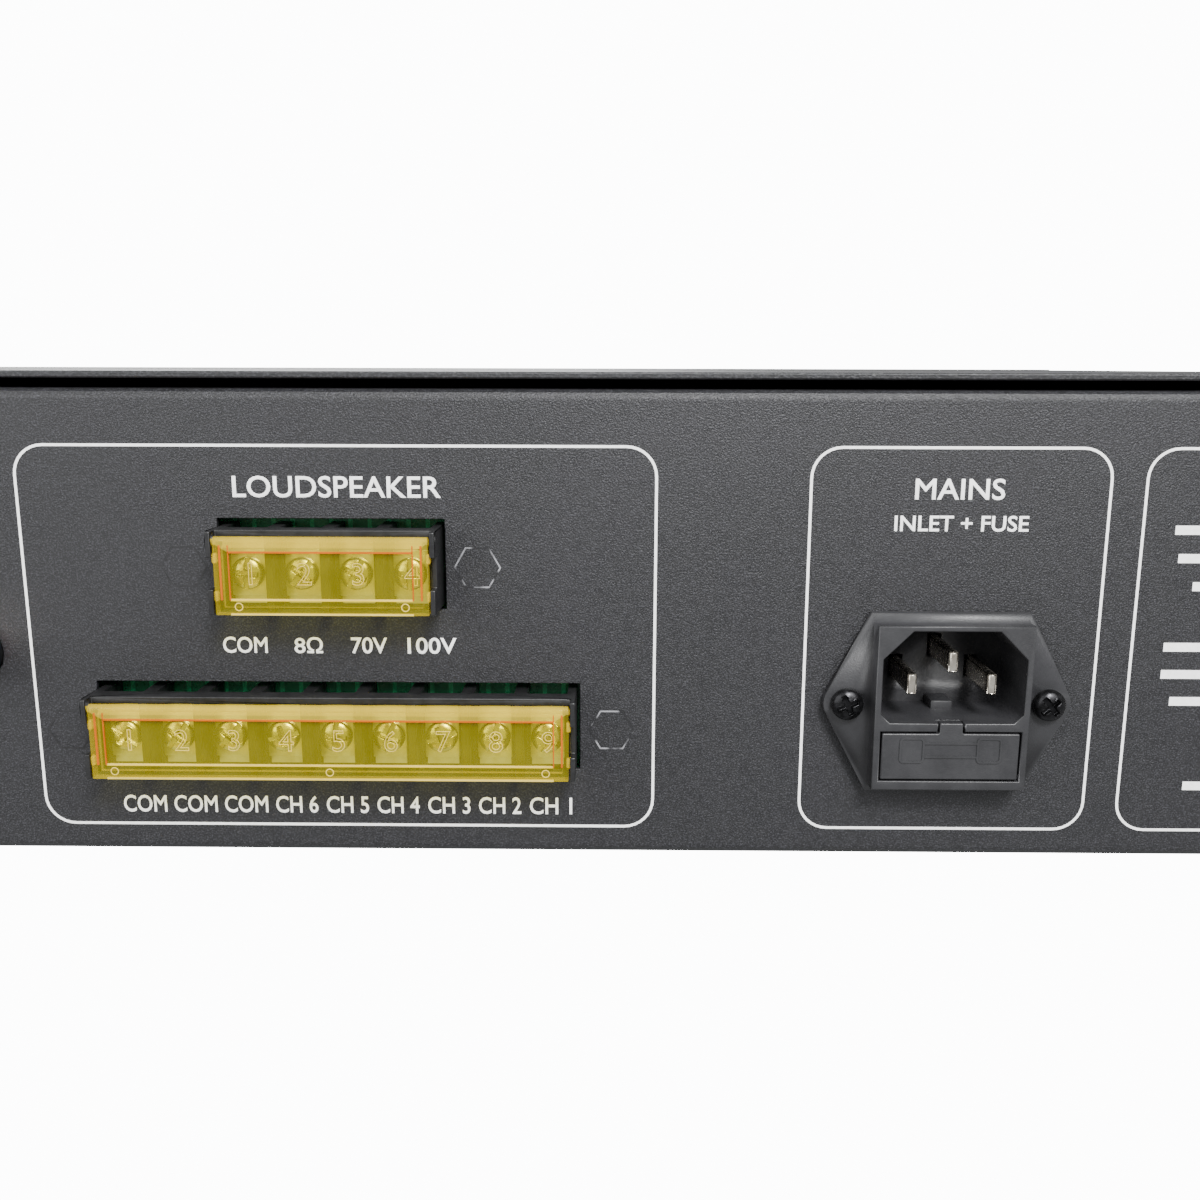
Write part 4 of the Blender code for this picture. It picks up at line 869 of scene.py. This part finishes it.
def add_terminal_screw(node, turn):
    """A nickel screw with a cross recess and a slot through its head."""
    low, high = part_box(node)
    radius = (high.x - low.x) / 2
    height = TERMINAL_HEAD
    shape = domed_screw(radius, height, 0.45, TERMINAL_SHANK, low.y - (high.y - height), 40)
    slot = (1.1 * radius, 0.42 * MM, 0.5)
    cross = (0.5 * MM, CROSS_ARM * radius, 0.75)
    shape = recessed(shape, height, (slot, cross))
    place = facing(node, out=-height) @ Matrix.Rotation(math.radians(turn), 4, "Z")
    bmesh.ops.transform(shape, matrix=place, verts=shape.verts)
    piece = add_piece(f"{node}_finished", shape, [nickel()], node, (node,))
    soften(piece, 0.09 * MM)


class AMPLIFIER_OT_lids(Operator):
    """Make the clear hinged lids with their frames, numerals and mould marks"""
    bl_idname = "amplifier.lids"
    bl_label = "Lids"

    def execute(self, context):
        for prefix, ways in (("line", LINE_WAYS), ("zone", ZONE_WAYS)):
            add_lid(prefix, ways, context.scene.amplifier.lids)
        return {"FINISHED"}


LID_END_GAP = 1.2 * MM              # from the end of a block to the end of its lid
LID_DROP = 0.9 * MM                 # from the top of a block to the top of its lid
LID_DEPTH = 2.2 * MM
LID_ROLL = 1.0 * MM                 # radius of the rolled upper edge
LID_SKIM = 0.02 * MM                # keeps faces that would coincide apart
PIN_RADIUS = 0.6 * MM
PINS_REACH = 1.9 * MM               # how much longer the pins are than the lid, both together
TAB_HEIGHTS = (3.0 * MM, -3.6 * MM)
TAB_HALF = (0.4 * MM, 0.9 * MM)
TAB_DEPTHS = (1.7 * MM, 0.4 * MM)   # behind the lid's face


def add_lid(prefix, ways, sizes):
    """A clear lid in its place on a block, with its lines and marks."""
    low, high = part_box(f"{prefix}_block")
    half = (high.x - low.x) / 2 - LID_END_GAP
    tall = (high.z - low.z - LID_DROP) / 2
    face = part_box(f"{prefix}_lid")[1].y - REAR_Y
    shape = lid_tray(half, tall, face, sizes)
    window = (half - sizes.frame, tall - sizes.frame)
    for element in shape.faces:
        element.material_index = lid_finish(element, *window)
    place = rear((low.x + high.x) / 2, (low.z + high.z - LID_DROP) / 2 - PAN_Z)
    bmesh.ops.transform(shape, matrix=place, verts=shape.verts)
    piece = add_piece(f"{prefix}_lid_finished", shape, [amber_window(), amber_rim()],
                      f"{prefix}_lid", (f"{prefix}_lid",))
    soften(piece, 0.1 * MM)
    add_lid_lines(prefix, place, (*window, face), sizes)
    add_lid_marks(prefix, ways, place, (tall, face), sizes)


def lid_tray(half, tall, face, sizes):
    """A tray with a window, pins at the ends of its rolled upper edge, and tabs on its sides."""
    back = face - LID_DEPTH
    hinge = tall - LID_ROLL
    shape = block((-half, -tall, back), (half, hinge, face - LID_SKIM))
    wall = sizes.sheet
    shape = bored(shape, block((wall - half, wall - tall, back - PAST),
                               (half - wall, tall + PAST, face - wall)))
    rim = sizes.frame
    shape = bored(shape, block((rim - half, rim - tall, face - sizes.step),
                               (half - rim, tall - rim, face + PAST)))
    along = Matrix.Translation((0, hinge, face - LID_ROLL)) @ Matrix.Rotation(math.pi / 2, 4, "Y")
    for radius, long, steps in ((LID_ROLL, 2 * half, 32), (PIN_RADIUS, 2 * half + PINS_REACH, 16)):
        rod = bmesh.new()
        bmesh.ops.create_cone(rod, cap_ends=True, segments=steps, radius1=radius, radius2=radius,
                              depth=long, matrix=along)
        shape = bored(shape, rod, "UNION")
    for side in (-1, 1):
        for height in TAB_HEIGHTS:
            add_block(shape,
                      (side * half - TAB_HALF[0], height - TAB_HALF[1], face - TAB_DEPTHS[0]),
                      (side * half + TAB_HALF[0], height + TAB_HALF[1], face - TAB_DEPTHS[1]),
                      0.25 * MM)
    return shape


GLOW_HALF = 0.16 * MM               # half the width of a painted glow line on a lid
GLOW_SUNK = 0.05 * MM
SIDE_GLOW = 1.45 * MM               # from the window's end to the line on the frame
SIDE_GLOW_RISE = 1.2 * MM           # how far the side lines pass the window's upper edge


def add_lid_lines(prefix, place, size, sizes):
    """Painted light on the lid, standing in for light piped through the sheet: orange painted glow
    along the window's upper edge and beside its ends, and a pale painted highlight along its lower
    edge."""
    half, tall, face = size
    shape = bmesh.new()
    line = GLOW_HALF
    step = face - sizes.step
    back = step - GLOW_SUNK
    front = face + LID_SKIM
    # orange painted glow lines: one along the window's upper edge, two beside each end
    add_block(shape, (-half, tall - line, back), (half, tall + line, front))
    for side in (-1, 1):
        for x, thick in ((side * half, 0.6 * line), (side * (half + SIDE_GLOW), line)):
            add_block(shape, (x - thick, -tall, back), (x + thick, tall + SIDE_GLOW_RISE, front))
    # pale painted highlight: a strip on the step and one at the frame's foot
    lip = block((-half, -tall - line, back), (half, -tall + 1.5 * line, step + line))
    foot = -tall - sizes.frame
    add_block(lip, (-half, foot, face - 0.4 * MM), (half, foot + 2 * line, front))
    take_in(shape, lip, finish=1)
    bmesh.ops.transform(shape, matrix=place, verts=shape.verts)
    add_piece(f"{prefix}_lid_lines", shape, [amber_edge(), amber_lip()], f"{prefix}_lid")


def lid_finish(face, half, tall):
    """Which of the lid's two finishes a face has: window or frame."""
    middle = face.calc_center_median()
    return 0 if abs(middle.x) < half and abs(middle.y) < tall else 1


NUMERAL_WIRE = 0.08 * MM
EJECTOR_RING = ((0.55 * MM, 0), (0.6 * MM, 0.06 * MM), (0.7 * MM, 0.06 * MM), (0.75 * MM, 0),
                (0.55 * MM, 0))
EJECTOR_RISE = 1.45 * MM            # above the lid's lower edge
EJECTOR_SUNK = 0.04 * MM


def add_lid_marks(prefix, ways, place, size, sizes):
    """Numerals moulded as hollow outlines, and the round marks of the ejector pins, at the ends
    and, where the count of ways is odd, in the middle."""
    tall, face = size
    shape = bmesh.new()
    low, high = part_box(f"{prefix}_block")
    middle = (low.x + high.x) / 2
    for way in range(1, ways + 1):
        aside = (way - (ways + 1) / 2) * NUMERAL_PITCH + NUMERAL_ASIDE
        take_in(shape, lettering(str(way), sizes.numeral, wire=NUMERAL_WIRE),
                place @ Matrix.Translation((aside, NUMERAL_RISE, face - sizes.step)))
        if way in (1, (ways + 1) / 2, ways):
            start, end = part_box(f"{prefix}_screw_{way}")
            spot = (middle - (start.x + end.x) / 2, EJECTOR_RISE - tall, face - EJECTOR_SUNK)
            add_turned(shape, EJECTOR_RING, place @ Matrix.Translation(spot), 20)
    # the numerals and ejector rings are drawn in the pale painted-highlight finish
    add_piece(f"{prefix}_lid_marks", shape, [amber_lip()], f"{prefix}_lid")


# ---------------------------------------------------------------------------
# Mains inlet
# ---------------------------------------------------------------------------

INLET_TURNS = (("left", 24), ("right", 40))         # of its screws' recesses, in degrees
INLET_HEAD = 2.1 * MM
INLET_SHANK = 1.5 * MM
RIM_BAND = 0.1 * MM                 # edges this near the outer face are the rim's
KEY_BLOCK = ((-2.0 * MM, -1.3 * MM, -8.4 * MM), (2.0 * MM, 1.3 * MM, -3 * MM))
KEY_ASIDE = -0.6 * MM               # from the inlet's middle
KEY_HEIGHT = 27.7 * MM
SYMBOL_LINE = 0.35 * MM             # the fuse outline on the drawer
SYMBOL_RISE = 0.18 * MM
SYMBOL_CAP = (4.4 * MM, 4.7 * MM, 0.8 * MM)         # width, height and corner of its end caps
SYMBOL_CAP_X = 6.8 * MM
SYMBOL_HEIGHT = 22.5 * MM
SYMBOL_TUBE_HEIGHTS = (23.8 * MM, 21.3 * MM)
SYMBOL_TUBE_HALF = 4.6 * MM
SYMBOL_SUNK = 0.02 * MM
CAP_LENGTH = 5.2 * MM               # of the fuse's plated caps
CAP_CHAMFER = 0.2 * MM


class AMPLIFIER_OT_inlet(Operator):
    """Make the mains inlet with its pins, screws, fuse drawer and fuse"""
    bl_idname = "amplifier.inlet"
    bl_label = "Mains inlet"

    def execute(self, context):
        add_housing()
        for node in ("inlet_pin_live", "inlet_pin_neutral", "inlet_pin_earth"):
            refine(node, nickel(), 0.35 * MM)
        for side, turn in INLET_TURNS:
            add_inlet_screw(f"inlet_screw_{side}", turn)
        add_key_block()
        add_drawer()
        add_fuse()
        return {"FINISHED"}


def add_housing():
    """The inlet's moulding, with the rim round its socket and drawer rounded."""
    shape = cad_copy("inlet_housing")
    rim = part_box("inlet_housing")[1].y - RIM_BAND
    chosen = shape.edges.layers.float.new("bevel_weight_edge")
    for edge in shape.edges:
        on_rim = all(vert.co.y > rim for vert in edge.verts)
        edge[chosen] = float(on_rim and edge.calc_face_angle(0) > FLAT)
    piece = add_piece("inlet_housing_finished", shape, [inlet_plastic()],
                      stands_for=("inlet_housing",))
    soften(piece, 0.22 * MM)
    piece.modifiers["Edges"].limit_method = "WEIGHT"


def add_inlet_screw(node, turn):
    """An oiled black screw with a cross recess."""
    low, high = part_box(node)
    shape = phillips_screw((high.x - low.x) / 2, INLET_HEAD, INLET_SHANK)
    place = facing(node, out=-INLET_HEAD) @ Matrix.Rotation(math.radians(turn), 4, "Z")
    bmesh.ops.transform(shape, matrix=place, verts=shape.verts)
    piece = add_piece(f"{node}_finished", shape, [black_steel()],
                      stands_for=(node,))
    soften(piece, 0.12 * MM)


def add_key_block():
    """The small block moulded on the socket's floor between the pins."""
    low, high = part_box("inlet_housing")
    shape = bmesh.new()
    add_block(shape, *KEY_BLOCK, 0.3 * MM, rear((low.x + high.x) / 2 + KEY_ASIDE, KEY_HEIGHT))
    add_piece("inlet_key_block", shape, [inlet_plastic()])


def add_drawer():
    """The fuse drawer with its finger tab, and a fuse outline moulded on its face."""
    refine("fuse_drawer", inlet_plastic(), 0.25 * MM, "fuse_drawer")
    low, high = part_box("fuse_drawer")
    x = (low.x + high.x) / 2
    out = high.y - REAR_Y
    shape = bmesh.new()
    for side in (-1, 1):
        take_in(shape, flat_ring(*SYMBOL_CAP, SYMBOL_LINE, SYMBOL_RISE),
                rear(x + side * SYMBOL_CAP_X, SYMBOL_HEIGHT, out - SYMBOL_SUNK))
    half = SYMBOL_LINE / 2
    for height in SYMBOL_TUBE_HEIGHTS:
        add_block(shape, (-SYMBOL_TUBE_HALF, -half, -SYMBOL_SUNK),
                  (SYMBOL_TUBE_HALF, half, SYMBOL_RISE), place=rear(x, height, out))
    add_piece("fuse_drawer_symbol", shape, [inlet_plastic()], "fuse_drawer")


def add_fuse():
    """A glass fuse with plated caps, lying in the drawer."""
    low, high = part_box("fuse")
    middle = (low + high) / 2
    radius = (high.z - low.z) / 2
    long = (high.x - low.x) / 2
    shape = bmesh.new()
    place = Matrix.Translation(middle) @ Matrix.Rotation(math.pi / 2, 4, "Y")
    inner = long - CAP_LENGTH
    tube = inner + CAP_CHAMFER          # a little way into both caps
    add_turned(shape, [(0, tube), (0.9 * radius, tube), (0.9 * radius, -tube), (0, -tube)], place,
               24)
    caps = bmesh.new()
    for side in (-1, 1):
        add_turned(caps, [(0, long), (0.92 * radius, long), (radius, long - CAP_CHAMFER),
                   (radius, inner), (0, inner)], place @ Matrix.Diagonal((1, 1, side, 1)), 24)
    bmesh.ops.recalc_face_normals(caps, faces=caps.faces)
    take_in(shape, caps, finish=1)
    add_piece("fuse_finished", shape, [glass(), nickel()], "fuse_drawer", ("fuse",))


# ---------------------------------------------------------------------------
# Line inputs
# ---------------------------------------------------------------------------

class AMPLIFIER_OT_sockets(Operator):
    """Make the phono pair and the microphone jack"""
    bl_idname = "amplifier.sockets"
    bl_label = "Input sockets"

    def execute(self, context):
        refine("line_input_sockets", nylon(), 0.25 * MM)
        refine("microphone_jack", knob_plastic(), 0.3 * MM)
        for name, x, colour in (("right", PHONO_X, red_plastic()),
                                ("left", PHONO_X + PHONO_SPACING, white_plastic())):
            add_phono(name, x, colour)
        add_jack_bush()
        add_socket_legends(context.scene.amplifier.marks)
        return {"FINISHED"}


def add_rings(shape, rings, place, steps=40):
    """Add turned rings, each from its inner to its outer radius and between two distances."""
    for inner, outer, start, end in rings:
        add_turned(shape, [(inner * MM, start * MM), (outer * MM, start * MM),
                   (outer * MM, end * MM), (inner * MM, end * MM), (inner * MM, start * MM)],
                   place, steps)


# Rings as (inner radius, outer radius, start, end), in millimetres
PHONO_SHELL = ((4.19, 4.36, 1.0, 9.52), (3.3, 4.36, 9.44, 9.56))
PHONO_COLOUR = ((4.2, 5.35, 0.98, 1.9), (1.75, 3.32, 9.4, 9.53))
JACK_BUSH = ((3.25, 4.78, 2.6, 4.05),)
LAMP_BEZEL = ((1.4, 2.1, -0.3, 0.5),)
NUT_ACROSS = 13.3 * MM
NUT_WALL = 1.9 * MM
NUT_HEIGHT = 2.2 * MM
NUT_SEAT = 0.55 * MM
LINE_NAME_RISE = 13 * MM            # of the names over the sockets' middles
LETTER_DROP = 9.5 * MM              # of L and R below them


def add_phono(name, x, colour):
    """A phono socket's nickel shell, with a coloured collar and insulator."""
    place = rear(x, SOCKET_HEIGHT)
    shell = bmesh.new()
    add_rings(shell, PHONO_SHELL, place)
    soften(add_piece(f"phono_shell_{name}", shell, [nickel()]), 0.04 * MM)
    shape = bmesh.new()
    add_rings(shape, PHONO_COLOUR, place)
    soften(add_piece(f"phono_insulator_{name}", shape, [colour]), 0.04 * MM)


def add_jack_bush():
    """The nickel bush and hexagonal nut of the microphone jack."""
    place = rear(JACK_X, SOCKET_HEIGHT)
    shape = bmesh.new()
    add_rings(shape, JACK_BUSH, place)
    nut = flat_ring(NUT_ACROSS, NUT_ACROSS, 0, NUT_WALL, NUT_HEIGHT, 6)
    take_in(shape, nut, place @ Matrix.Translation((0, 0, NUT_SEAT)))
    soften(add_piece("jack_bush", shape, [nickel()]), 0.15 * MM)


def add_socket_legends(marks):
    """Plain names over the line inputs and the microphone input."""
    shape = bmesh.new()
    middle = PHONO_X + PHONO_SPACING / 2
    for words, x, width in (("LINE IN", middle, 17.0 * MM), ("MIC", JACK_X, 8.2 * MM)):
        add_text(shape, words, rear(x, SOCKET_HEIGHT + LINE_NAME_RISE), width,
                 1.1 * marks.legend, marks.weight)
    for letter, x in (("R", PHONO_X), ("L", PHONO_X + PHONO_SPACING)):
        add_text(shape, letter, rear(x, SOCKET_HEIGHT - LETTER_DROP), 2.1 * MM, marks.legend,
                 marks.weight)
    add_piece("socket_legends", shape, [screen_ink()], sharp=60)


# ---------------------------------------------------------------------------
# Front
# ---------------------------------------------------------------------------

ZONE_BUTTONS = 6
ZONE_NUMBER_DROP = 8.5 * MM
ZONE_LAMP_RISE = 9 * MM
POWER_DROP = 20 * MM                # its name below and its lamp above the switch's middle
POWER_WIDTH = 10 * MM
KNOB_FLUTES = 18
FLUTE_DEPTH = 0.045                 # as a share of the knob's radius
POINTER_HALF = 0.45 * MM
POINTER_FACES = (0.52 * MM, 0.44 * MM)              # behind the rim of the cap
DIAL_TICKS = 11
DIAL_HALF_TURN = 150                # degrees from the top to the first and the last tick
DIAL_GAP = 1.6 * MM
TICK_HALF = 0.2 * MM
TICK_LENGTHS = (2.4 * MM, 1.6 * MM)                 # of every fifth tick and of the others
DIAL_END_DROP = 4.1 * MM
DIAL_NAME_DROP = 8.6 * MM


class AMPLIFIER_OT_face(Operator):
    """Make the front panel, rack ears, knobs, zone buttons and power switch"""
    bl_idname = "amplifier.face"
    bl_label = "Front"

    def execute(self, context):
        refine("front_panel", satin_coat(), 0.2 * MM)
        for side in ("left", "right"):
            refine(f"rack_ear_{side}", satin_coat(), 0.25 * MM)
        marks = context.scene.amplifier.marks
        dials = bmesh.new()
        for words in ("INPUT", "BASS", "TREBLE", "MASTER"):
            node = f"{words.lower()}_knob"
            add_knob(node)
            add_dial(dials, node, words, marks)
        for number in range(1, ZONE_BUTTONS + 1):
            add_zone_button(dials, number, marks)
        add_power_switch(dials, marks)
        add_piece("front_legends", dials, [screen_ink()], sharp=60)
        return {"FINISHED"}


def on_front(node):
    """The spot on the front panel's face at a node's middle."""
    place = facing(node, ON_FRONT)
    place.translation.y = FRONT_Y
    return place


def add_front_text(shape, words, place, down, marks, x=0.0, width=None, share=0.9):
    """Words on the front panel, below a spot, their height a share of the legends'."""
    add_text(shape, words, place @ Matrix.Translation((x, -down, 0)), width,
             share * marks.legend, marks.weight)


def add_zone_button(shape, number, marks):
    """A push button, with its number below and its lamp above."""
    node = f"zone_button_{number}"
    refine(node, button_plastic(), 0.15 * MM, node)
    place = on_front(node)
    add_front_text(shape, str(number), place, ZONE_NUMBER_DROP, marks)
    add_lamp(f"zone_lamp_{number}", place @ Matrix.Translation((0, ZONE_LAMP_RISE, 0)))


def add_power_switch(shape, marks):
    """The rocker in its frame, with its name below and its lamp above."""
    refine("power_switch_frame", knob_plastic(), 0.3 * MM)
    refine("power_rocker", knob_plastic(), 0.2 * MM, "power_rocker")
    place = on_front("power_switch_frame")
    add_front_text(shape, "POWER", place, POWER_DROP, marks, width=POWER_WIDTH)
    add_lamp("power_lamp", place @ Matrix.Translation((0, POWER_DROP, 0)))


def add_knob(node):
    """A fluted knob with a chamfered cap and a white pointer line."""
    low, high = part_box(node)
    radius = (high.x - low.x) / 2
    long = high.y - low.y
    place = facing(node, ON_FRONT, -long)
    shape = bmesh.new()
    profile = [(0, long - 0.5 * MM), (0.8 * radius, long - 0.5 * MM), (0.84 * radius, long),
               (0.93 * radius, long), (0.97 * radius, long - 0.8 * MM), (radius, 0.25 * long),
               (radius, 0), (0, 0)]
    add_turned(shape, profile, Matrix.Identity(4), 6 * KNOB_FLUTES)
    for vert in shape.verts:
        flat = vert.co.xy
        if flat.length > 0.9 * radius and vert.co.z > 0.2 * long:
            wave = (1 - math.cos(KNOB_FLUTES * math.atan2(flat.y, flat.x))) / 2
            vert.co.xy = flat * (1 - FLUTE_DEPTH * wave)
    bmesh.ops.transform(shape, matrix=place, verts=shape.verts)
    add_piece(f"{node}_finished", shape, [knob_plastic()], node, (node,))
    line = block((-POINTER_HALF, 0.3 * radius, long - POINTER_FACES[0]),
                 (POINTER_HALF, 0.78 * radius, long - POINTER_FACES[1]))
    bmesh.ops.transform(line, matrix=place, verts=line.verts)
    add_piece(f"{node}_pointer", line, [screen_ink()], node)


def add_dial(shape, node, words, marks):
    """Ticks and end numerals round a knob, with its name below."""
    low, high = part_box(node)
    radius = (high.x - low.x) / 2
    place = on_front(node)
    start = radius + DIAL_GAP
    for tick in range(DIAL_TICKS):
        angle = math.radians(DIAL_HALF_TURN * (1 - 2 * tick / (DIAL_TICKS - 1)))
        add_block(shape, (-TICK_HALF, start, -INK_SUNK),
                  (TICK_HALF, start + TICK_LENGTHS[tick % 5 > 0], INK),
                  place=place @ Matrix.Rotation(angle, 4, "Z"))
    for mark, side in (("0", -1), ("10", 1)):
        add_front_text(shape, mark, place, radius + DIAL_END_DROP, marks,
                       x=side * 0.78 * radius, share=0.7)
    add_front_text(shape, words, place, radius + DIAL_NAME_DROP, marks)


def add_lamp(name, place):
    """A small domed lens in a nickel bezel."""
    bezel = bmesh.new()
    add_rings(bezel, LAMP_BEZEL, place, 32)
    soften(add_piece(f"{name}_bezel", bezel, [nickel()]), 0.12 * MM)
    lens = bmesh.new()
    edge = 0.2 * MM
    radius = 1.45 * MM
    dome = [(radius * math.cos(a), edge + 0.9 * MM * math.sin(a))
            for a in (math.radians(15 * i) for i in range(5, -1, -1))]
    add_turned(lens, [(0, edge + 0.9 * MM), *dome, (radius, -edge), (0, -edge)], place, 32)
    add_piece(f"{name}_lens", lens, [lamp()])


# ---------------------------------------------------------------------------
# Inside
# ---------------------------------------------------------------------------

class AMPLIFIER_OT_inside(Operator):
    """Finish the boards, transformers, heatsink and capacitors inside the case"""
    bl_idname = "amplifier.inside"
    bl_label = "Inside"

    def execute(self, context):
        for node in ("output_board", "front_board", "amplifier_board"):
            refine(node, board(), 0.1 * MM)
        for number in range(1, 5):
            refine(f"board_standoff_{number}", nickel(), 0.1 * MM)
        for node in ("power_transformer", "output_transformer"):
            refine(node, laminations(), 0.4 * MM)
        refine("heatsink", aluminium(), 0.2 * MM)
        for number in (1, 2):
            refine(f"capacitor_{number}", sleeve(), 0.4 * MM)
        return {"FINISHED"}


# ---------------------------------------------------------------------------
# Stage
# ---------------------------------------------------------------------------

# Lights as (name, place in metres, size in metres, share of the key light's power)
LIGHTS = (("key", (-0.5, 1.1, 1.0), 1.0, 1.0), ("fill", (0.9, 0.9, 0.5), 1.0, 0.4),
          ("glint", (-0.22, 0.75, 0.6), 0.16, 0.3), ("front", (0.4, -1.3, 0.9), 1.2, 0.8))
LIGHT_AIM = Vector((0, 0, 0.04))
CAMERA_PLACE = Vector((-43.8 * MM, 369.88 * MM, 97.72 * MM))
CAMERA_LOOK = Vector((0.0099, -0.980, -0.199))
CAMERA_ROLL = math.radians(0.16)


class AMPLIFIER_OT_stage(Operator):
    """Set the white surround, the soft lights and the camera"""
    bl_idname = "amplifier.stage"
    bl_label = "Stage"

    def execute(self, context):
        stage = context.scene.amplifier.stage
        add_lights(stage)
        add_camera(stage)
        return {"FINISHED"}


def add_lights(stage):
    """A surround that is seen white, and soft lights: a large one above the rear, weaker ones
    beside it and in front of the front panel."""
    world = bpy.data.worlds.new("studio")
    world.use_nodes = True
    ground = world.node_tree.nodes["Background"]
    ground.inputs["Color"].default_value = rgba(tuple(stage.surround))
    rays = add_node(world, "ShaderNodeLightPath", {})
    seen = add_node(world, "ShaderNodeMapRange", {"Value": rays.outputs["Is Camera Ray"],
                    "To Min": stage.strength, "To Max": stage.white})
    world.node_tree.links.new(seen.outputs["Result"], ground.inputs["Strength"])
    bpy.context.scene.world = world
    for name, place, size, share in LIGHTS:
        light = bpy.data.lights.new(name, "AREA")
        light.size = size
        light.energy = share * stage.key
        lamp_object = bpy.data.objects.new(name, light)
        lamp_object.location = place
        aim = LIGHT_AIM - Vector(place)
        lamp_object.rotation_euler = aim.to_track_quat("-Z", "Y").to_euler()
        bpy.context.scene.collection.objects.link(lamp_object)


def add_camera(stage):
    """The camera behind the rear panel, looking a little down."""
    data = bpy.data.cameras.new("camera")
    data.lens = stage.lens
    data.clip_start = 0.01
    camera = bpy.data.objects.new("camera", data)
    turn = CAMERA_LOOK.to_track_quat("-Z", "Y").to_matrix().to_4x4()
    camera.matrix_world = (Matrix.Translation(CAMERA_PLACE) @ turn
                           @ Matrix.Rotation(CAMERA_ROLL, 4, "Z"))
    bpy.context.scene.collection.objects.link(camera)
    bpy.context.scene.camera = camera


# ---------------------------------------------------------------------------
# Add-on
# ---------------------------------------------------------------------------

class AMPLIFIER_PT_looks(Panel):
    """Lists the steps in the order that they are run"""
    bl_label = "Power Amplifier"
    bl_idname = "AMPLIFIER_PT_looks"
    bl_space_type = "VIEW_3D"
    bl_region_type = "UI"
    bl_category = "Amplifier"

    def draw(self, context):
        settings = context.scene.amplifier
        for group in (settings.marks, settings.lids, settings.stage):
            for name in group.bl_rna.properties.keys():
                if name not in ("rna_type", "name"):
                    self.layout.prop(group, name)
        for step in STEPS:
            self.layout.operator(step.bl_idname)


STEPS = (AMPLIFIER_OT_case, AMPLIFIER_OT_marks, AMPLIFIER_OT_terminals, AMPLIFIER_OT_lids,
         AMPLIFIER_OT_inlet, AMPLIFIER_OT_sockets, AMPLIFIER_OT_face, AMPLIFIER_OT_inside,
         AMPLIFIER_OT_stage)
CLASSES = (PrintSettings, LidSettings, StageSettings, AmplifierSettings, *STEPS,
           AMPLIFIER_PT_looks)


def register():
    """Add the classes and the settings to Blender."""
    for item in CLASSES:
        bpy.utils.register_class(item)
    bpy.types.Scene.amplifier = PointerProperty(type=AmplifierSettings)


def unregister():
    """Take the settings and the classes away again."""
    del bpy.types.Scene.amplifier
    for item in reversed(CLASSES):
        bpy.utils.unregister_class(item)


def main():
    register()
    for step in STEPS:
        getattr(bpy.ops.amplifier, step.bl_idname.split(".")[1])()
    bpy.context.view_layer.update()


if __name__ == "__main__":
    main()
